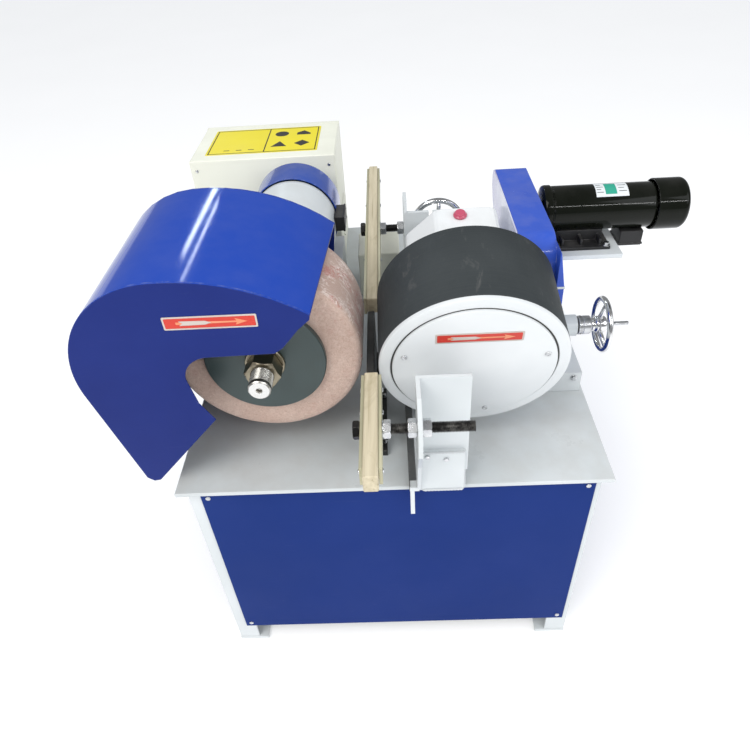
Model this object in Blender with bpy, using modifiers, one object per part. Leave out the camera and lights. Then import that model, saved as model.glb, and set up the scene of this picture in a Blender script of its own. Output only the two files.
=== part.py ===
"""Centreless polishing machine for round bar and tube.

A polishing wheel on the left and a rubber-covered regulating drum on the right face each other
across a work-rest blade. Sizes are in millimetres and are turned into metres where meshes are made.
Machine axes: X to the right from the table's left edge, Y backwards from its front edge, and Z up
from its top. ORIGIN moves them so that the finished machine stands centred on the world's origin.
"""

import math

import bmesh
import bpy
from mathutils import Matrix, Vector

MM = 0.001
ORIGIN = Vector((412.0, 396.2, -505.0))
COLLECTION = "Centreless polishing machine"

# Cabinet
TABLE_WIDTH = 720.0
TABLE_DEPTH = 915.0
TABLE_THICK = 8.0
FRAME_INSET = 15.0
LEG_WIDTH = 40.0
LEG_WALL = 4.0
FLOOR_Z = -505.0
PAD_THICK = 8.0
PANEL_BOTTOM = -449.0
PANEL_THICK = 2.0

# Polishing wheel and its motor
WHEEL_X = 174.0
WHEEL_Z = 202.0
WHEEL_RADIUS = 150.0
WHEEL_FRONT = 98.0
WHEEL_BACK = 246.0
FLANGE_RADIUS = 94.0
SHAFT_RADIUS = 17.5
SHAFT_FRONT = 20.0
MOTOR_RADIUS = 87.0
MOTOR_FRONT = 378.0
MOTOR_BACK = 581.0
FAN_COVER_BACK = 655.0

# Wheel guard
GUARD_FRONT = 21.0
GUARD_BACK = 307.0
GUARD_SHEET = 2.5

# Guide rails and the blade between the wheels
RAIL_X = 337.0
RAIL_TOP = 201.0
STRIP_WIDTH = 20.0
STRIP_HEIGHT = 30.0
SIDE_PLATE = 5.0
ROD_RADIUS = 8.0
ROD_Z = 186.0
FRONT_ROD_Y = -52.0
REAR_ROD_Y = 537.0
BRACKET_X = 400.5
BRACKET_PLATE = 6.5

# Regulating drum, in its own tilted axes: u back along its axis, w up across it
DRUM_X = 492.0
DRUM_FRONT_Y = 72.0
DRUM_FRONT_Z = 191.0
DRUM_RADIUS = 144.5
DRUM_WIDTH = 149.0
TILT = math.radians(12.6)
PIVOT = (DRUM_X, 300.0, 100.0)
WORM_U = 215.0
WORM_W = -63.0

# Belt drive
BELT_LEFT = 582.0
BELT_RIGHT = 642.0
BELT_X = 612.0
DRIVE_Y = 430.0
DRIVE_Z = 264.0
DRIVE_RADIUS = 43.0
DRIVE_END = 912.0

# Cross slide
SLIDE_TOP = 44.0
CARRIAGE_TOP = 58.0
FEED_Y = 381.0
FEED_Z = 30.0
FEED_WHEEL_X = 794.0
TILT_SCREW_X = 476.0
TILT_SCREW_Z = 160.0
TILT_WHEEL_Y = 600.0
SUPPORT_Y = 492.0
HANDWHEEL_RADIUS = 58.0

# Control box
BOX_LOW = (-67.0, 704.0, 0.3)
BOX_HIGH = (257.0, 908.0, 284.0)

GAP = 0.3
ROUND = 48
MEDIUM = 24
SMALL = 16

MACHINE = Matrix.Translation(-ORIGIN * MM)
HEAD = (
    MACHINE
    @ Matrix.Translation(Vector((DRUM_X, DRUM_FRONT_Y, DRUM_FRONT_Z)) * MM)
    @ Matrix.Rotation(TILT, 4, "X")
)

PLANES = {
    "XZ": Matrix(((1, 0, 0), (0, 0, 1), (0, 1, 0))).transposed(),
    "YZ": Matrix(((0, 1, 0), (0, 0, 1), (1, 0, 0))).transposed(),
    "XY": Matrix.Identity(3),
}

COLOURS = {
    "white_paint": ((0.80, 0.82, 0.84), 0.35, 0.0),
    "grey_paint": ((0.62, 0.64, 0.66), 0.35, 0.0),
    "blue_paint": ((0.03, 0.07, 0.36), 0.25, 0.0),
    "bright_blue_paint": ((0.07, 0.13, 0.58), 0.25, 0.0),
    "cream_paint": ((0.80, 0.80, 0.70), 0.45, 0.0),
    "abrasive_fibre": ((0.50, 0.33, 0.27), 0.95, 0.0),
    "dark_plate": ((0.10, 0.13, 0.13), 0.35, 0.8),
    "rubber": ((0.07, 0.075, 0.075), 0.75, 0.0),
    "steel": ((0.55, 0.55, 0.53), 0.30, 1.0),
    "black_steel": ((0.02, 0.02, 0.02), 0.45, 0.6),
    "brass": ((0.45, 0.38, 0.18), 0.40, 0.9),
    "wood": ((0.62, 0.52, 0.36), 0.70, 0.0),
    "chrome": ((0.80, 0.80, 0.80), 0.08, 1.0),
    "black_paint": ((0.01, 0.01, 0.01), 0.20, 0.0),
    "red_plastic": ((0.70, 0.10, 0.14), 0.40, 0.0),
    "green_plastic": ((0.03, 0.40, 0.12), 0.40, 0.0),
    "belt_rubber": ((0.02, 0.02, 0.02), 0.80, 0.0),
}


def clear_scene():
    for obj in list(bpy.data.objects):
        bpy.data.objects.remove(obj)


def new_collection(name):
    collection = bpy.data.collections.new(name)
    bpy.context.scene.collection.children.link(collection)
    return collection


def material(name):
    if name in bpy.data.materials:
        return bpy.data.materials[name]
    colour, roughness, metallic = COLOURS[name]
    made = bpy.data.materials.new(name)
    made.use_nodes = True
    shader = made.node_tree.nodes["Principled BSDF"]
    shader.inputs["Base Color"].default_value = (*colour, 1.0)
    shader.inputs["Roughness"].default_value = roughness
    shader.inputs["Metallic"].default_value = metallic
    return made


# Solids. Each maker takes machine millimetres, or the tilted head's when axes is HEAD.


def link(name, mesh, finish, matrix):
    obj = bpy.data.objects.new(name, mesh)
    PARTS.objects.link(obj)
    obj.matrix_world = matrix
    if finish:
        mesh.materials.append(material(finish))
    return obj


def shade(mesh):
    mesh.shade_smooth()
    mesh.set_sharp_from_angle(angle=math.radians(35))


def box(name, low, high, finish=None, axes=MACHINE):
    low, high = Vector(low) * MM, Vector(high) * MM
    size = high - low
    mesh = bpy.data.meshes.new(name)
    shape = bmesh.new()
    bmesh.ops.create_cube(shape, size=1.0)
    bmesh.ops.scale(shape, vec=size, verts=shape.verts)
    shape.to_mesh(mesh)
    shape.free()
    return link(name, mesh, finish, axes @ Matrix.Translation((low + high) / 2))


def bar(name, start, end, radius, finish=None, axes=MACHINE, sides=SMALL, turn=0.0, tip=None):
    """A cylinder, cone or prism from start to end."""
    start, end = Vector(start) * MM, Vector(end) * MM
    along = end - start
    mesh = bpy.data.meshes.new(name)
    shape = bmesh.new()
    bmesh.ops.create_cone(
        shape,
        cap_ends=True,
        segments=sides,
        radius1=radius * MM,
        radius2=(radius if tip is None else tip) * MM,
        depth=along.length,
    )
    shape.to_mesh(mesh)
    shape.free()
    if sides > 8:
        shade(mesh)
    turned_to = along.to_track_quat("Z", "Y").to_matrix().to_4x4()
    matrix = axes @ Matrix.Translation((start + end) / 2) @ turned_to
    return link(name, mesh, finish, matrix @ Matrix.Rotation(turn, 4, "Z"))


def turned(name, profile, base, along, finish=None, axes=MACHINE, steps=ROUND, closed=False):
    """A profile of (radius, height) points, running down its outer side, turned about along."""
    mesh = bpy.data.meshes.new(name)
    shape = bmesh.new()
    verts = [shape.verts.new((radius * MM, 0.0, height * MM)) for radius, height in profile]
    for first, second in zip(verts, verts[1:]):
        shape.edges.new((first, second))
    if closed:
        shape.edges.new((verts[-1], verts[0]))
    shape.to_mesh(mesh)
    shape.free()
    spun = Vector(along).to_track_quat("Z", "Y").to_matrix().to_4x4()
    obj = link(name, mesh, finish, axes @ Matrix.Translation(Vector(base) * MM) @ spun)
    screw = obj.modifiers.new("Turn", "SCREW")
    screw.axis = "Z"
    screw.steps = screw.render_steps = steps
    screw.use_merge_vertices = True
    screw.merge_threshold = 0.00001
    return obj


def ring(name, outer, inner, start, end, finish=None, axes=MACHINE, steps=ROUND):
    """A washer or tube from start to end."""
    length = (Vector(end) - Vector(start)).length
    profile = [(inner, length), (outer, length), (outer, 0.0), (inner, 0.0)]
    along = Vector(end) - Vector(start)
    return turned(name, profile, start, along, finish, axes, steps, closed=True)


def arc(centre, radius, first, last, count):
    """Points on an arc, angles in degrees from the outline's first axis towards its second."""
    angles = [math.radians(first + (last - first) * i / count) for i in range(count + 1)]
    return [(centre[0] + radius * math.cos(a), centre[1] + radius * math.sin(a)) for a in angles]


def outline(name, points, plane, low, high, finish=None, axes=MACHINE):
    """A flat outline in the XZ, YZ or XY plane, as thick as from low to high across it."""
    curve = bpy.data.curves.new(name, "CURVE")
    curve.dimensions = "2D"
    curve.fill_mode = "BOTH"
    curve.extrude = (high - low) / 2 * MM
    spline = curve.splines.new("POLY")
    spline.points.add(len(points) - 1)
    for point, (first, second) in zip(spline.points, points):
        point.co = (first * MM, second * MM, 0.0, 1.0)
    spline.use_cyclic_u = True
    middle = {"XZ": (0, 1, 0), "YZ": (1, 0, 0), "XY": (0, 0, 1)}[plane]
    offset = Vector(middle) * (low + high) / 2 * MM
    guide = bpy.data.objects.new(name + "_curve", curve)
    PARTS.objects.link(guide)
    bpy.context.view_layer.update()
    graph = bpy.context.evaluated_depsgraph_get()
    mesh = bpy.data.meshes.new_from_object(guide.evaluated_get(graph))
    bpy.data.objects.remove(guide)
    shape = bmesh.new()
    shape.from_mesh(mesh)
    bmesh.ops.remove_doubles(shape, verts=shape.verts, dist=0.00001)
    shape.transform(PLANES[plane].to_4x4())
    shape.normal_update()
    bmesh.ops.recalc_face_normals(shape, faces=shape.faces)
    shape.to_mesh(mesh)
    shape.free()
    mesh.materials.clear()
    return link(name, mesh, finish, axes @ Matrix.Translation(offset))


def set_aside(tool):
    PARTS.objects.unlink(tool)
    CUTTERS.objects.link(tool)
    tool.hide_render = True
    tool.display_type = "WIRE"


def combine(target, operation, tools):
    for tool in tools:
        modifier = target.modifiers.new(operation.title(), "BOOLEAN")
        modifier.operation = operation
        modifier.object = tool
        set_aside(tool)
    return target


def cut(target, *tools):
    return combine(target, "DIFFERENCE", tools)


def join(target, *tools):
    return combine(target, "UNION", tools)


def bevel(obj, width, segments=1, angle=40.0):
    modifier = obj.modifiers.new("Edges", "BEVEL")
    modifier.width = width * MM
    modifier.segments = segments
    modifier.limit_method = "ANGLE"
    modifier.angle_limit = math.radians(angle)
    return obj


def on_axis(name, place, pieces, axes=MACHINE):
    """An empty on a joint's axis, with the pieces that the joint moves hung from it."""
    empty = bpy.data.objects.new(name, None)
    empty.empty_display_size = 0.05
    PARTS.objects.link(empty)
    empty.matrix_world = axes @ Matrix.Translation(Vector(place) * MM)
    bpy.context.view_layer.update()
    for piece in pieces:
        world = piece.matrix_world.copy()
        piece.parent = empty
        piece.matrix_parent_inverse = empty.matrix_world.inverted()
        piece.matrix_world = world
    return empty


def head_point(u, w):
    """The machine's (y, z) of a point in the tilted head's axes."""
    y = DRUM_FRONT_Y + u * math.cos(TILT) - w * math.sin(TILT)
    z = DRUM_FRONT_Z + u * math.sin(TILT) + w * math.cos(TILT)
    return y, z


# Cabinet


def base_frame():
    """An angle-steel frame: a box shell opened on every side, which leaves its corner angles."""
    low = Vector((FRAME_INSET, FRAME_INSET, FLOOR_Z + 1))
    high = Vector((TABLE_WIDTH - FRAME_INSET, TABLE_DEPTH - FRAME_INSET, -TABLE_THICK - GAP))
    frame = box("base_frame", low, high, "white_paint")
    wall = Vector((LEG_WALL,) * 3)
    hollow = box("frame_hollow", low + wall, high - wall)
    past = 20.0
    leg = LEG_WIDTH
    rail_low = PANEL_BOTTOM + leg
    rail_high = high.z - leg
    through_y = box(
        "frame_window_y",
        (low.x + leg, low.y - past, rail_low),
        (high.x - leg, high.y + past, rail_high),
    )
    through_x = box(
        "frame_window_x",
        (low.x - past, low.y + leg, rail_low),
        (high.x + past, high.y - leg, rail_high),
    )
    through_z = box(
        "frame_window_z",
        (low.x + leg, low.y + leg, low.z - past),
        (high.x - leg, high.y - leg, high.z + past),
    )
    under_y = box(
        "frame_under_y",
        (low.x + leg, low.y - past, low.z - past),
        (high.x - leg, high.y + past, PANEL_BOTTOM),
    )
    under_x = box(
        "frame_under_x",
        (low.x - past, low.y + leg, low.z - past),
        (high.x + past, high.y - leg, PANEL_BOTTOM),
    )
    cut(frame, hollow, through_y, through_x, through_z, under_y, under_x)
    corners = [(44, 44), (676, 44), (44, 871), (676, 871)]
    pads = [
        box(f"foot_pad_{number}", (x - 30, y - 30, FLOOR_Z), (x + 30, y + 30, FLOOR_Z + PAD_THICK))
        for number, (x, y) in enumerate(corners)
    ]
    join(frame, *pads)


def cabinet():
    base_frame()
    top = box("table_top", (0, 0, -TABLE_THICK), (TABLE_WIDTH, TABLE_DEPTH, 0), "grey_paint")
    bevel(top, 1.5)
    left, right = FRAME_INSET, TABLE_WIDTH - FRAME_INSET
    front, back = FRAME_INSET, TABLE_DEPTH - FRAME_INSET
    high = -13.0
    out = PANEL_THICK + GAP
    sheets = {
        "panel_front": ((36, front - out, PANEL_BOTTOM), (696, front - GAP, high)),
        "panel_rear": ((24, back + GAP, PANEL_BOTTOM), (696, back + out, high)),
        "panel_left": ((left - out, 36, PANEL_BOTTOM), (left - GAP, 879, high)),
        "panel_right": ((right + GAP, 36, PANEL_BOTTOM), (right + out, 879, high)),
    }
    for name, (low, top_corner) in sheets.items():
        box(name, low, top_corner, "blue_paint")


# Polishing wheel, its spindle and motor


def polishing_wheel():
    length = WHEEL_BACK - WHEEL_FRONT
    bore = SHAFT_RADIUS + GAP
    edge = 14.0
    shoulder = [
        (WHEEL_RADIUS - edge + edge * math.cos(a), length - edge + edge * math.sin(a))
        for a in (math.radians(90 - 22.5 * i) for i in range(5))
    ]
    profile = [(bore, length), *shoulder, (WHEEL_RADIUS, 6.0), (WHEEL_RADIUS - 6.0, 0), (bore, 0)]
    back = (WHEEL_X, WHEEL_BACK, WHEEL_Z)
    return turned(
        "polishing_wheel", profile, back, (0, -1, 0), "abrasive_fibre", steps=56, closed=True
    )


def spindle():
    def at(y):
        return (WHEEL_X, y, WHEEL_Z)

    bore = SHAFT_RADIUS + GAP
    tip = 3.0
    fan_end = FAN_COVER_BACK - 22.0
    length = fan_end - SHAFT_FRONT
    shaft_profile = [
        (0, length),
        (SHAFT_RADIUS - tip, length),
        (SHAFT_RADIUS, length - tip),
        (SHAFT_RADIUS, 0),
        (0, 0),
    ]
    shaft = turned(
        "wheel_spindle", shaft_profile, at(fan_end), (0, -1, 0), "steel", steps=MEDIUM
    )
    front = ring(
        "wheel_flange_front", FLANGE_RADIUS, bore, at(86), at(WHEEL_FRONT - GAP), "dark_plate"
    )
    rear = ring(
        "wheel_flange_rear", FLANGE_RADIUS, bore, at(WHEEL_BACK + GAP), at(258), "dark_plate"
    )
    nut = bar("wheel_nut", at(52), at(84), 28.0, "steel", sides=6)
    join(nut, bar("nut_collar", at(80), at(86 - GAP), 31.0, sides=MEDIUM))
    cut(nut, bar("nut_bore", at(40), at(90), bore, sides=MEDIUM))
    fan = motor_fan()
    wheel = polishing_wheel()
    on_axis("spindle_axis", at(WHEEL_FRONT), [shaft, front, rear, nut, fan, wheel])


def motor_fan():
    """The main motor's cooling fan, inside its cover."""
    start, end = MOTOR_BACK + 14.0, MOTOR_BACK + 42.0
    centre = (WHEEL_X, start, WHEEL_Z)
    fan = bar("motor_fan", centre, (WHEEL_X, end, WHEEL_Z), 32.0, "black_paint", sides=MEDIUM)
    blades = []
    for index in range(6):
        angle = math.radians(60 * index)
        turn = Matrix.Rotation(angle, 4, "Y")
        axes = MACHINE @ Matrix.Translation(Vector(centre) * MM) @ turn
        blades.append(box(f"fan_blade_{index}", (-2, 2, 20), (2, 26, 76), axes=axes))
    join(fan, *blades)
    bore = SHAFT_RADIUS + GAP
    cut(fan, bar("fan_bore", (WHEEL_X, 500, WHEEL_Z), (WHEEL_X, 700, WHEEL_Z), bore, sides=MEDIUM))
    return fan


def main_motor():
    def at(y):
        return (WHEEL_X, y, WHEEL_Z)

    bore = SHAFT_RADIUS + 0.5
    length = MOTOR_BACK - MOTOR_FRONT
    profile = [
        (bore, length),
        (48, length),
        (56, length - 12),
        (MOTOR_RADIUS - 5, length - 16),
        (MOTOR_RADIUS, length - 22),
        (MOTOR_RADIUS, 8),
        (MOTOR_RADIUS - 6, 0),
        (bore, 0),
    ]
    body = turned(
        "main_motor_body", profile, at(MOTOR_BACK), (0, -1, 0), "white_paint", closed=True
    )
    foot_low, foot_high = (WHEEL_X - 82, 420, 101.0), (WHEEL_X + 82, 560, 112.0)
    foot = box("motor_foot", foot_low, foot_high)
    legs = [
        box(f"motor_leg_{side}", (x - 9, 425, 106), (x + 9, 555, 150))
        for side, x in enumerate((WHEEL_X - 55, WHEEL_X + 55))
    ]
    join(body, foot, *legs)
    cover_radius = MOTOR_RADIUS + 4.0
    wall = 2.0
    start = MOTOR_BACK + GAP
    depth = FAN_COVER_BACK - start
    dome = 14.0
    cover_profile = [
        (26.0, depth),
        (cover_radius - dome, depth),
        (cover_radius - 4.0, depth - 4.0),
        (cover_radius, depth - dome),
        (cover_radius, 0),
        (cover_radius - wall, 0),
        (cover_radius - wall, depth - dome - wall),
        (cover_radius - dome, depth - wall),
        (26.0, depth - wall),
    ]
    turned(
        "main_motor_fan_cover", cover_profile, at(start), (0, 1, 0), "bright_blue_paint",
        closed=True,
    )
    box(
        "main_motor_terminal_box",
        (WHEEL_X + MOTOR_RADIUS + GAP, 520, 194),
        (WHEEL_X + 106, 579, 224),
        "black_paint",
    )


def motor_pedestal():
    """A welded stand under the motor, with an arm forward that carries the wheel guard."""
    top = 100.7
    stand = box("motor_pedestal", (84, 404, GAP), (264, 676, top), "white_paint")
    arch = box("pedestal_arch", (94, 380, -10), (254, 700, top - 8))
    arm = box("guard_arm", (8, 310.0, 30), (20, 440, 96))
    arm_tie = box("guard_arm_tie", (8, 420, 30), (94, 432, 96))
    foot = box("guard_arm_foot", (8, 310.0, GAP), (94, 440, 10))
    face = box("guard_arm_face", (8, 310.0, GAP), (94, 318, 96))
    cut(stand, arch)
    join(stand, foot, arm, arm_tie, face)


# Wheel guard


def guard_outline(inset=0.0):
    """The hood's side view in X and Z: a leaning left side, a round shoulder and a long top bow."""
    shoulder = arc((66, 236), 154 - inset, 191.5, 93.4, 10)
    bow = arc((76, 66), 324.3 - inset, 93.4, 50.8, 9)
    return [(-44 + inset, 20), *shoulder, *bow[1:]]


def wheel_guard():
    """The hood: a cheek with an open mouth in front, and a wrap round the left side and top."""
    mouth = [(262, 322), (245, 307), (220, 277), (207, 268), (110, 266), (76, 242), (69, 226)]
    mouth += [(80, 180), (98, 146), (-23, 14), (-34, 12)]
    guard = outline(
        "wheel_guard", guard_outline() + mouth, "XZ", GUARD_FRONT, GUARD_BACK, "blue_paint"
    )
    open_side = [(420, 320), (420, -200), (-20, -200)]
    hollow = outline(
        "guard_hollow",
        guard_outline(GUARD_SHEET) + open_side,
        "XZ",
        GUARD_FRONT + GUARD_SHEET,
        GUARD_BACK + 20,
    )
    slant = [(263, 10), (281, 318), (420, 318), (420, 10)]
    cut(guard, hollow, outline("guard_trim", slant, "XY", 250, 420))
    back_start = GUARD_BACK + GAP
    back_points = guard_outline() + [(262, 150), (60, 26), (-23, 14), (-34, 12)]
    back = outline(
        "guard_back", back_points, "XZ", back_start, back_start + GUARD_SHEET, "blue_paint"
    )
    shaft_hole = bar(
        "guard_shaft_hole", (WHEEL_X, 300, WHEEL_Z), (WHEEL_X, 400, WHEEL_Z), 46, sides=MEDIUM
    )
    cut(back, shaft_hole)


# Control box, on the back left of the table


def control_box():
    low, high = Vector(BOX_LOW), Vector(BOX_HIGH)
    sheet = 2.0
    body = box("control_box", low, high, "cream_paint")
    bevel(body, 2.0)
    inside = box(
        "control_box_inside",
        low + Vector((sheet, sheet, sheet)),
        (high.x - sheet, high.y + 20, high.z - sheet),
    )
    cut(body, inside)
    door_y = high.y + GAP
    door = box(
        "control_box_door", (low.x, door_y, low.z), (high.x, door_y + 14, high.z), "cream_paint"
    )
    hollow = box(
        "door_hollow",
        (low.x + sheet, door_y - 10, low.z + sheet),
        (high.x - sheet, door_y + 12, high.z - sheet),
    )
    middle_x = (low.x + high.x) / 2
    places = {"start_button": -60, "stop_button": 0, "speed_knob": 70}
    face = door_y + 14
    button_z = 180.0
    holes = [
        bar(
            f"{name}_hole", (middle_x + x, face - 8, button_z), (middle_x + x, face + 8, button_z),
            9.5,
        )
        for name, x in places.items()
    ]
    cut(door, hollow, *holes)

    def along(x, first, last):
        return (middle_x + x, face + first, button_z), (middle_x + x, face + last, button_z)

    start = bar("start_button", *along(-60, -1.0, 9.0), 9.0, "green_plastic")
    stop = bar("stop_button", *along(0, -1.0, 10.0), 9.0, "red_plastic")
    join(stop, bar("stop_head", *along(0, 8.0, 18.0), 19.0, sides=MEDIUM))
    knob = bar("speed_knob", *along(70, -1.0, 8.0), 9.0, "black_paint")
    join(knob, bar("knob_grip", *along(70, 3.0, 20.0), 16.0, sides=MEDIUM, tip=14.0))
    for piece, x in ((start, -60), (stop, 0), (knob, 70)):
        on_axis(piece.name + "_axis", (middle_x + x, face, button_z), [piece])
    on_axis("door_hinge", (low.x, face, low.z), [door])


# Guide rails


def guide_rail(end, strip_low, strip_high, plate_low, plate_high, rod_y, rod_end):
    """A replaceable strip between two plates, hung on a threaded rod with its head at the left."""
    half = STRIP_WIDTH / 2
    low, high = RAIL_TOP - STRIP_HEIGHT, RAIL_TOP
    strip = box(
        f"{end}_rail_strip", (RAIL_X - half, strip_low, low), (RAIL_X + half, strip_high, high),
        "wood",
    )
    bevel(strip, 1.5)
    hole = ROD_RADIUS + GAP
    pieces = [strip]

    def across(first, last):
        return (first, rod_y, ROD_Z), (last, rod_y, ROD_Z)

    cut(strip, bar(f"{end}_strip_hole", *across(RAIL_X - 60, RAIL_X + 60), hole))
    for side, sign in (("left", -1), ("right", 1)):
        near, far = RAIL_X + sign * (half + GAP), RAIL_X + sign * (half + SIDE_PLATE)
        plate = box(
            f"{end}_rail_plate_{side}",
            (min(near, far), plate_low, low - 6),
            (max(near, far), plate_high, high - 4),
            "brass",
        )
        cut(plate, bar(f"{end}_plate_hole_{side}", *across(RAIL_X - 60, RAIL_X + 60), hole))
        pieces.append(plate)
    outer = half + SIDE_PLATE + GAP
    rod = bar(
        f"{end}_rod", *across(RAIL_X - outer - 10, rod_end), ROD_RADIUS, "black_steel", sides=24
    )
    head = bar(
        f"{end}_rod_head", *across(RAIL_X - outer - 10, RAIL_X - outer), 13.5, sides=6, turn=0.5
    )
    nut = bar(f"{end}_rail_nut", *across(RAIL_X + outer, RAIL_X + outer + 12), 13.5, sides=6)
    join(rod, head, nut)
    pieces.append(rod)
    on_axis(f"{end}_rail_axis", (RAIL_X, rod_y, ROD_Z), pieces)


def rod_nut(name, start, end, rod_y):
    nut = bar(name, (start, rod_y, ROD_Z), (end, rod_y, ROD_Z), 13.5, "steel", sides=6)
    cut(nut, bar(name + "_bore", (start - 5, rod_y, ROD_Z), (end + 5, rod_y, ROD_Z), 8.3))


def rails():
    guide_rail("front", -150, 54, -132, 52, FRONT_ROD_Y, 480)
    guide_rail("rear", 251, 833, 258, 828, REAR_ROD_Y, 448)
    front_bracket()
    rear_bracket()
    plate_end = BRACKET_X + BRACKET_PLATE
    for end, rod_y in (("front", FRONT_ROD_Y), ("rear", REAR_ROD_Y)):
        rod_nut(f"{end}_nut_inner", BRACKET_X - 13.3, BRACKET_X - GAP, rod_y)
        rod_nut(f"{end}_nut_outer", plate_end + GAP, plate_end + 13.3, rod_y)


def front_bracket():
    """A plate across the rod on an upright plate and a short angle at the table's front edge."""
    side = [(-84, 212), (-84, 158), (-40, 90), (-8, GAP), (4, GAP), (4, 233), (-44, 233)]
    left, right = BRACKET_X, BRACKET_X + BRACKET_PLATE
    plate = outline("front_bracket", side, "YZ", left, right, "white_paint")
    upper = box("bracket_upper", (left + 2, -2, 40), (480, 4, 233))
    face = box("bracket_angle", (left + 2, -8, GAP), (475, -1, 88))
    foot = box("bracket_foot", (left + 2, -8, GAP), (475, 58, 7))
    tie = box("bracket_tie", (388.5, -10, GAP), (404, 190, 9))
    lip = box("tie_lip", (389, -10, -58), (396, -4, 8))
    join(plate, upper, face, foot, tie, lip)
    rod = ((380, FRONT_ROD_Y, ROD_Z), (430, FRONT_ROD_Y, ROD_Z))
    cut(plate, bar("front_bracket_hole", *rod, ROD_RADIUS + GAP))


def rear_bracket():
    side = [(SUPPORT_Y, GAP), (560, GAP), (572, 150), (572, 236), (540, 262), (SUPPORT_Y + 8, 262)]
    side += [(SUPPORT_Y, 240)]
    left, right = BRACKET_X, BRACKET_X + BRACKET_PLATE
    plate = outline("rear_bracket", side, "YZ", left, right, "white_paint")
    face = box("rear_bracket_face", (left + 2, SUPPORT_Y, GAP), (450, SUPPORT_Y + 8, 240))
    foot = box("rear_bracket_foot", (left + 2, SUPPORT_Y - 40, GAP), (450, SUPPORT_Y + 4, 8))
    join(plate, face, foot)
    rod = ((380, REAR_ROD_Y, ROD_Z), (430, REAR_ROD_Y, ROD_Z))
    cut(plate, bar("rear_bracket_hole", *rod, ROD_RADIUS + GAP))


def rail_block():
    """A block on the table behind the rear bracket, under the rear rail."""
    block = box("rear_rail_block", (299, 574, GAP), (391, 676, 106), "cream_paint")
    bevel(block, 2.0)


def work_rest():
    """The blade that carries the bar between the wheels, in a slotted holder."""
    blade_top = 186.0
    blade = box("work_rest_blade", (329, 64, 70), (341, 236, blade_top), "dark_plate")
    bevel(blade, 1.0)
    holder = box("blade_holder", (324, 70, GAP), (346, 230, 60), "dark_plate")
    flange = box("holder_flange", (316, 70, GAP), (354, 230, 12))
    raised = box("holder_cheeks", (324, 70, 50), (346, 230, 100))
    slot = box("holder_slot", (329 - GAP, 50, 40), (341 + GAP, 250, 120))
    join(holder, flange, raised)
    cut(holder, slot)
    on_axis("blade_axis", (335, 150, 70), [blade])


# Cross slide


def handwheel(name, centre, along):
    """A three-spoke rim with a hub, its axis along X or Y."""
    turned_to = Vector(along).to_track_quat("Z", "Y").to_matrix().to_4x4()
    axes = MACHINE @ Matrix.Translation(Vector(centre) * MM) @ turned_to
    bpy.ops.mesh.primitive_torus_add(
        major_segments=36,
        minor_segments=8,
        major_radius=(HANDWHEEL_RADIUS - 6) * MM,
        minor_radius=6 * MM,
    )
    wheel = bpy.context.object
    wheel.name = name
    for collection in wheel.users_collection:
        collection.objects.unlink(wheel)
    PARTS.objects.link(wheel)
    wheel.matrix_world = axes
    wheel.data.materials.append(material("chrome"))
    shade(wheel.data)
    spokes = []
    for index in range(3):
        angle = math.radians(120 * index + 93)
        reach = HANDWHEEL_RADIUS - 6
        tip = (reach * math.cos(angle), reach * math.sin(angle), 0)
        root = (12 * math.cos(angle), 12 * math.sin(angle), -8)
        spokes.append(bar(f"{name}_spoke_{index}", root, tip, 4.6, axes=axes, sides=10))
    hub = bar(f"{name}_hub", (0, 0, -24), (0, 0, 8), 17, axes=axes, sides=24)
    join(wheel, hub, *spokes)
    cut(wheel, bar(f"{name}_bore", (0, 0, -40), (0, 0, 30), 8.3, axes=axes))
    return wheel


def feed_dial():
    """The graduated sleeve between the feed handwheel and its boss."""
    dial = bar(
        "feed_dial", (743, FEED_Y, FEED_Z), (776, FEED_Y, FEED_Z), 19, sides=24
    )
    start, end = (738, FEED_Y, FEED_Z), (780, FEED_Y, FEED_Z)
    return cut(dial, bar("feed_dial_bore", start, end, 8.3))


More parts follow.
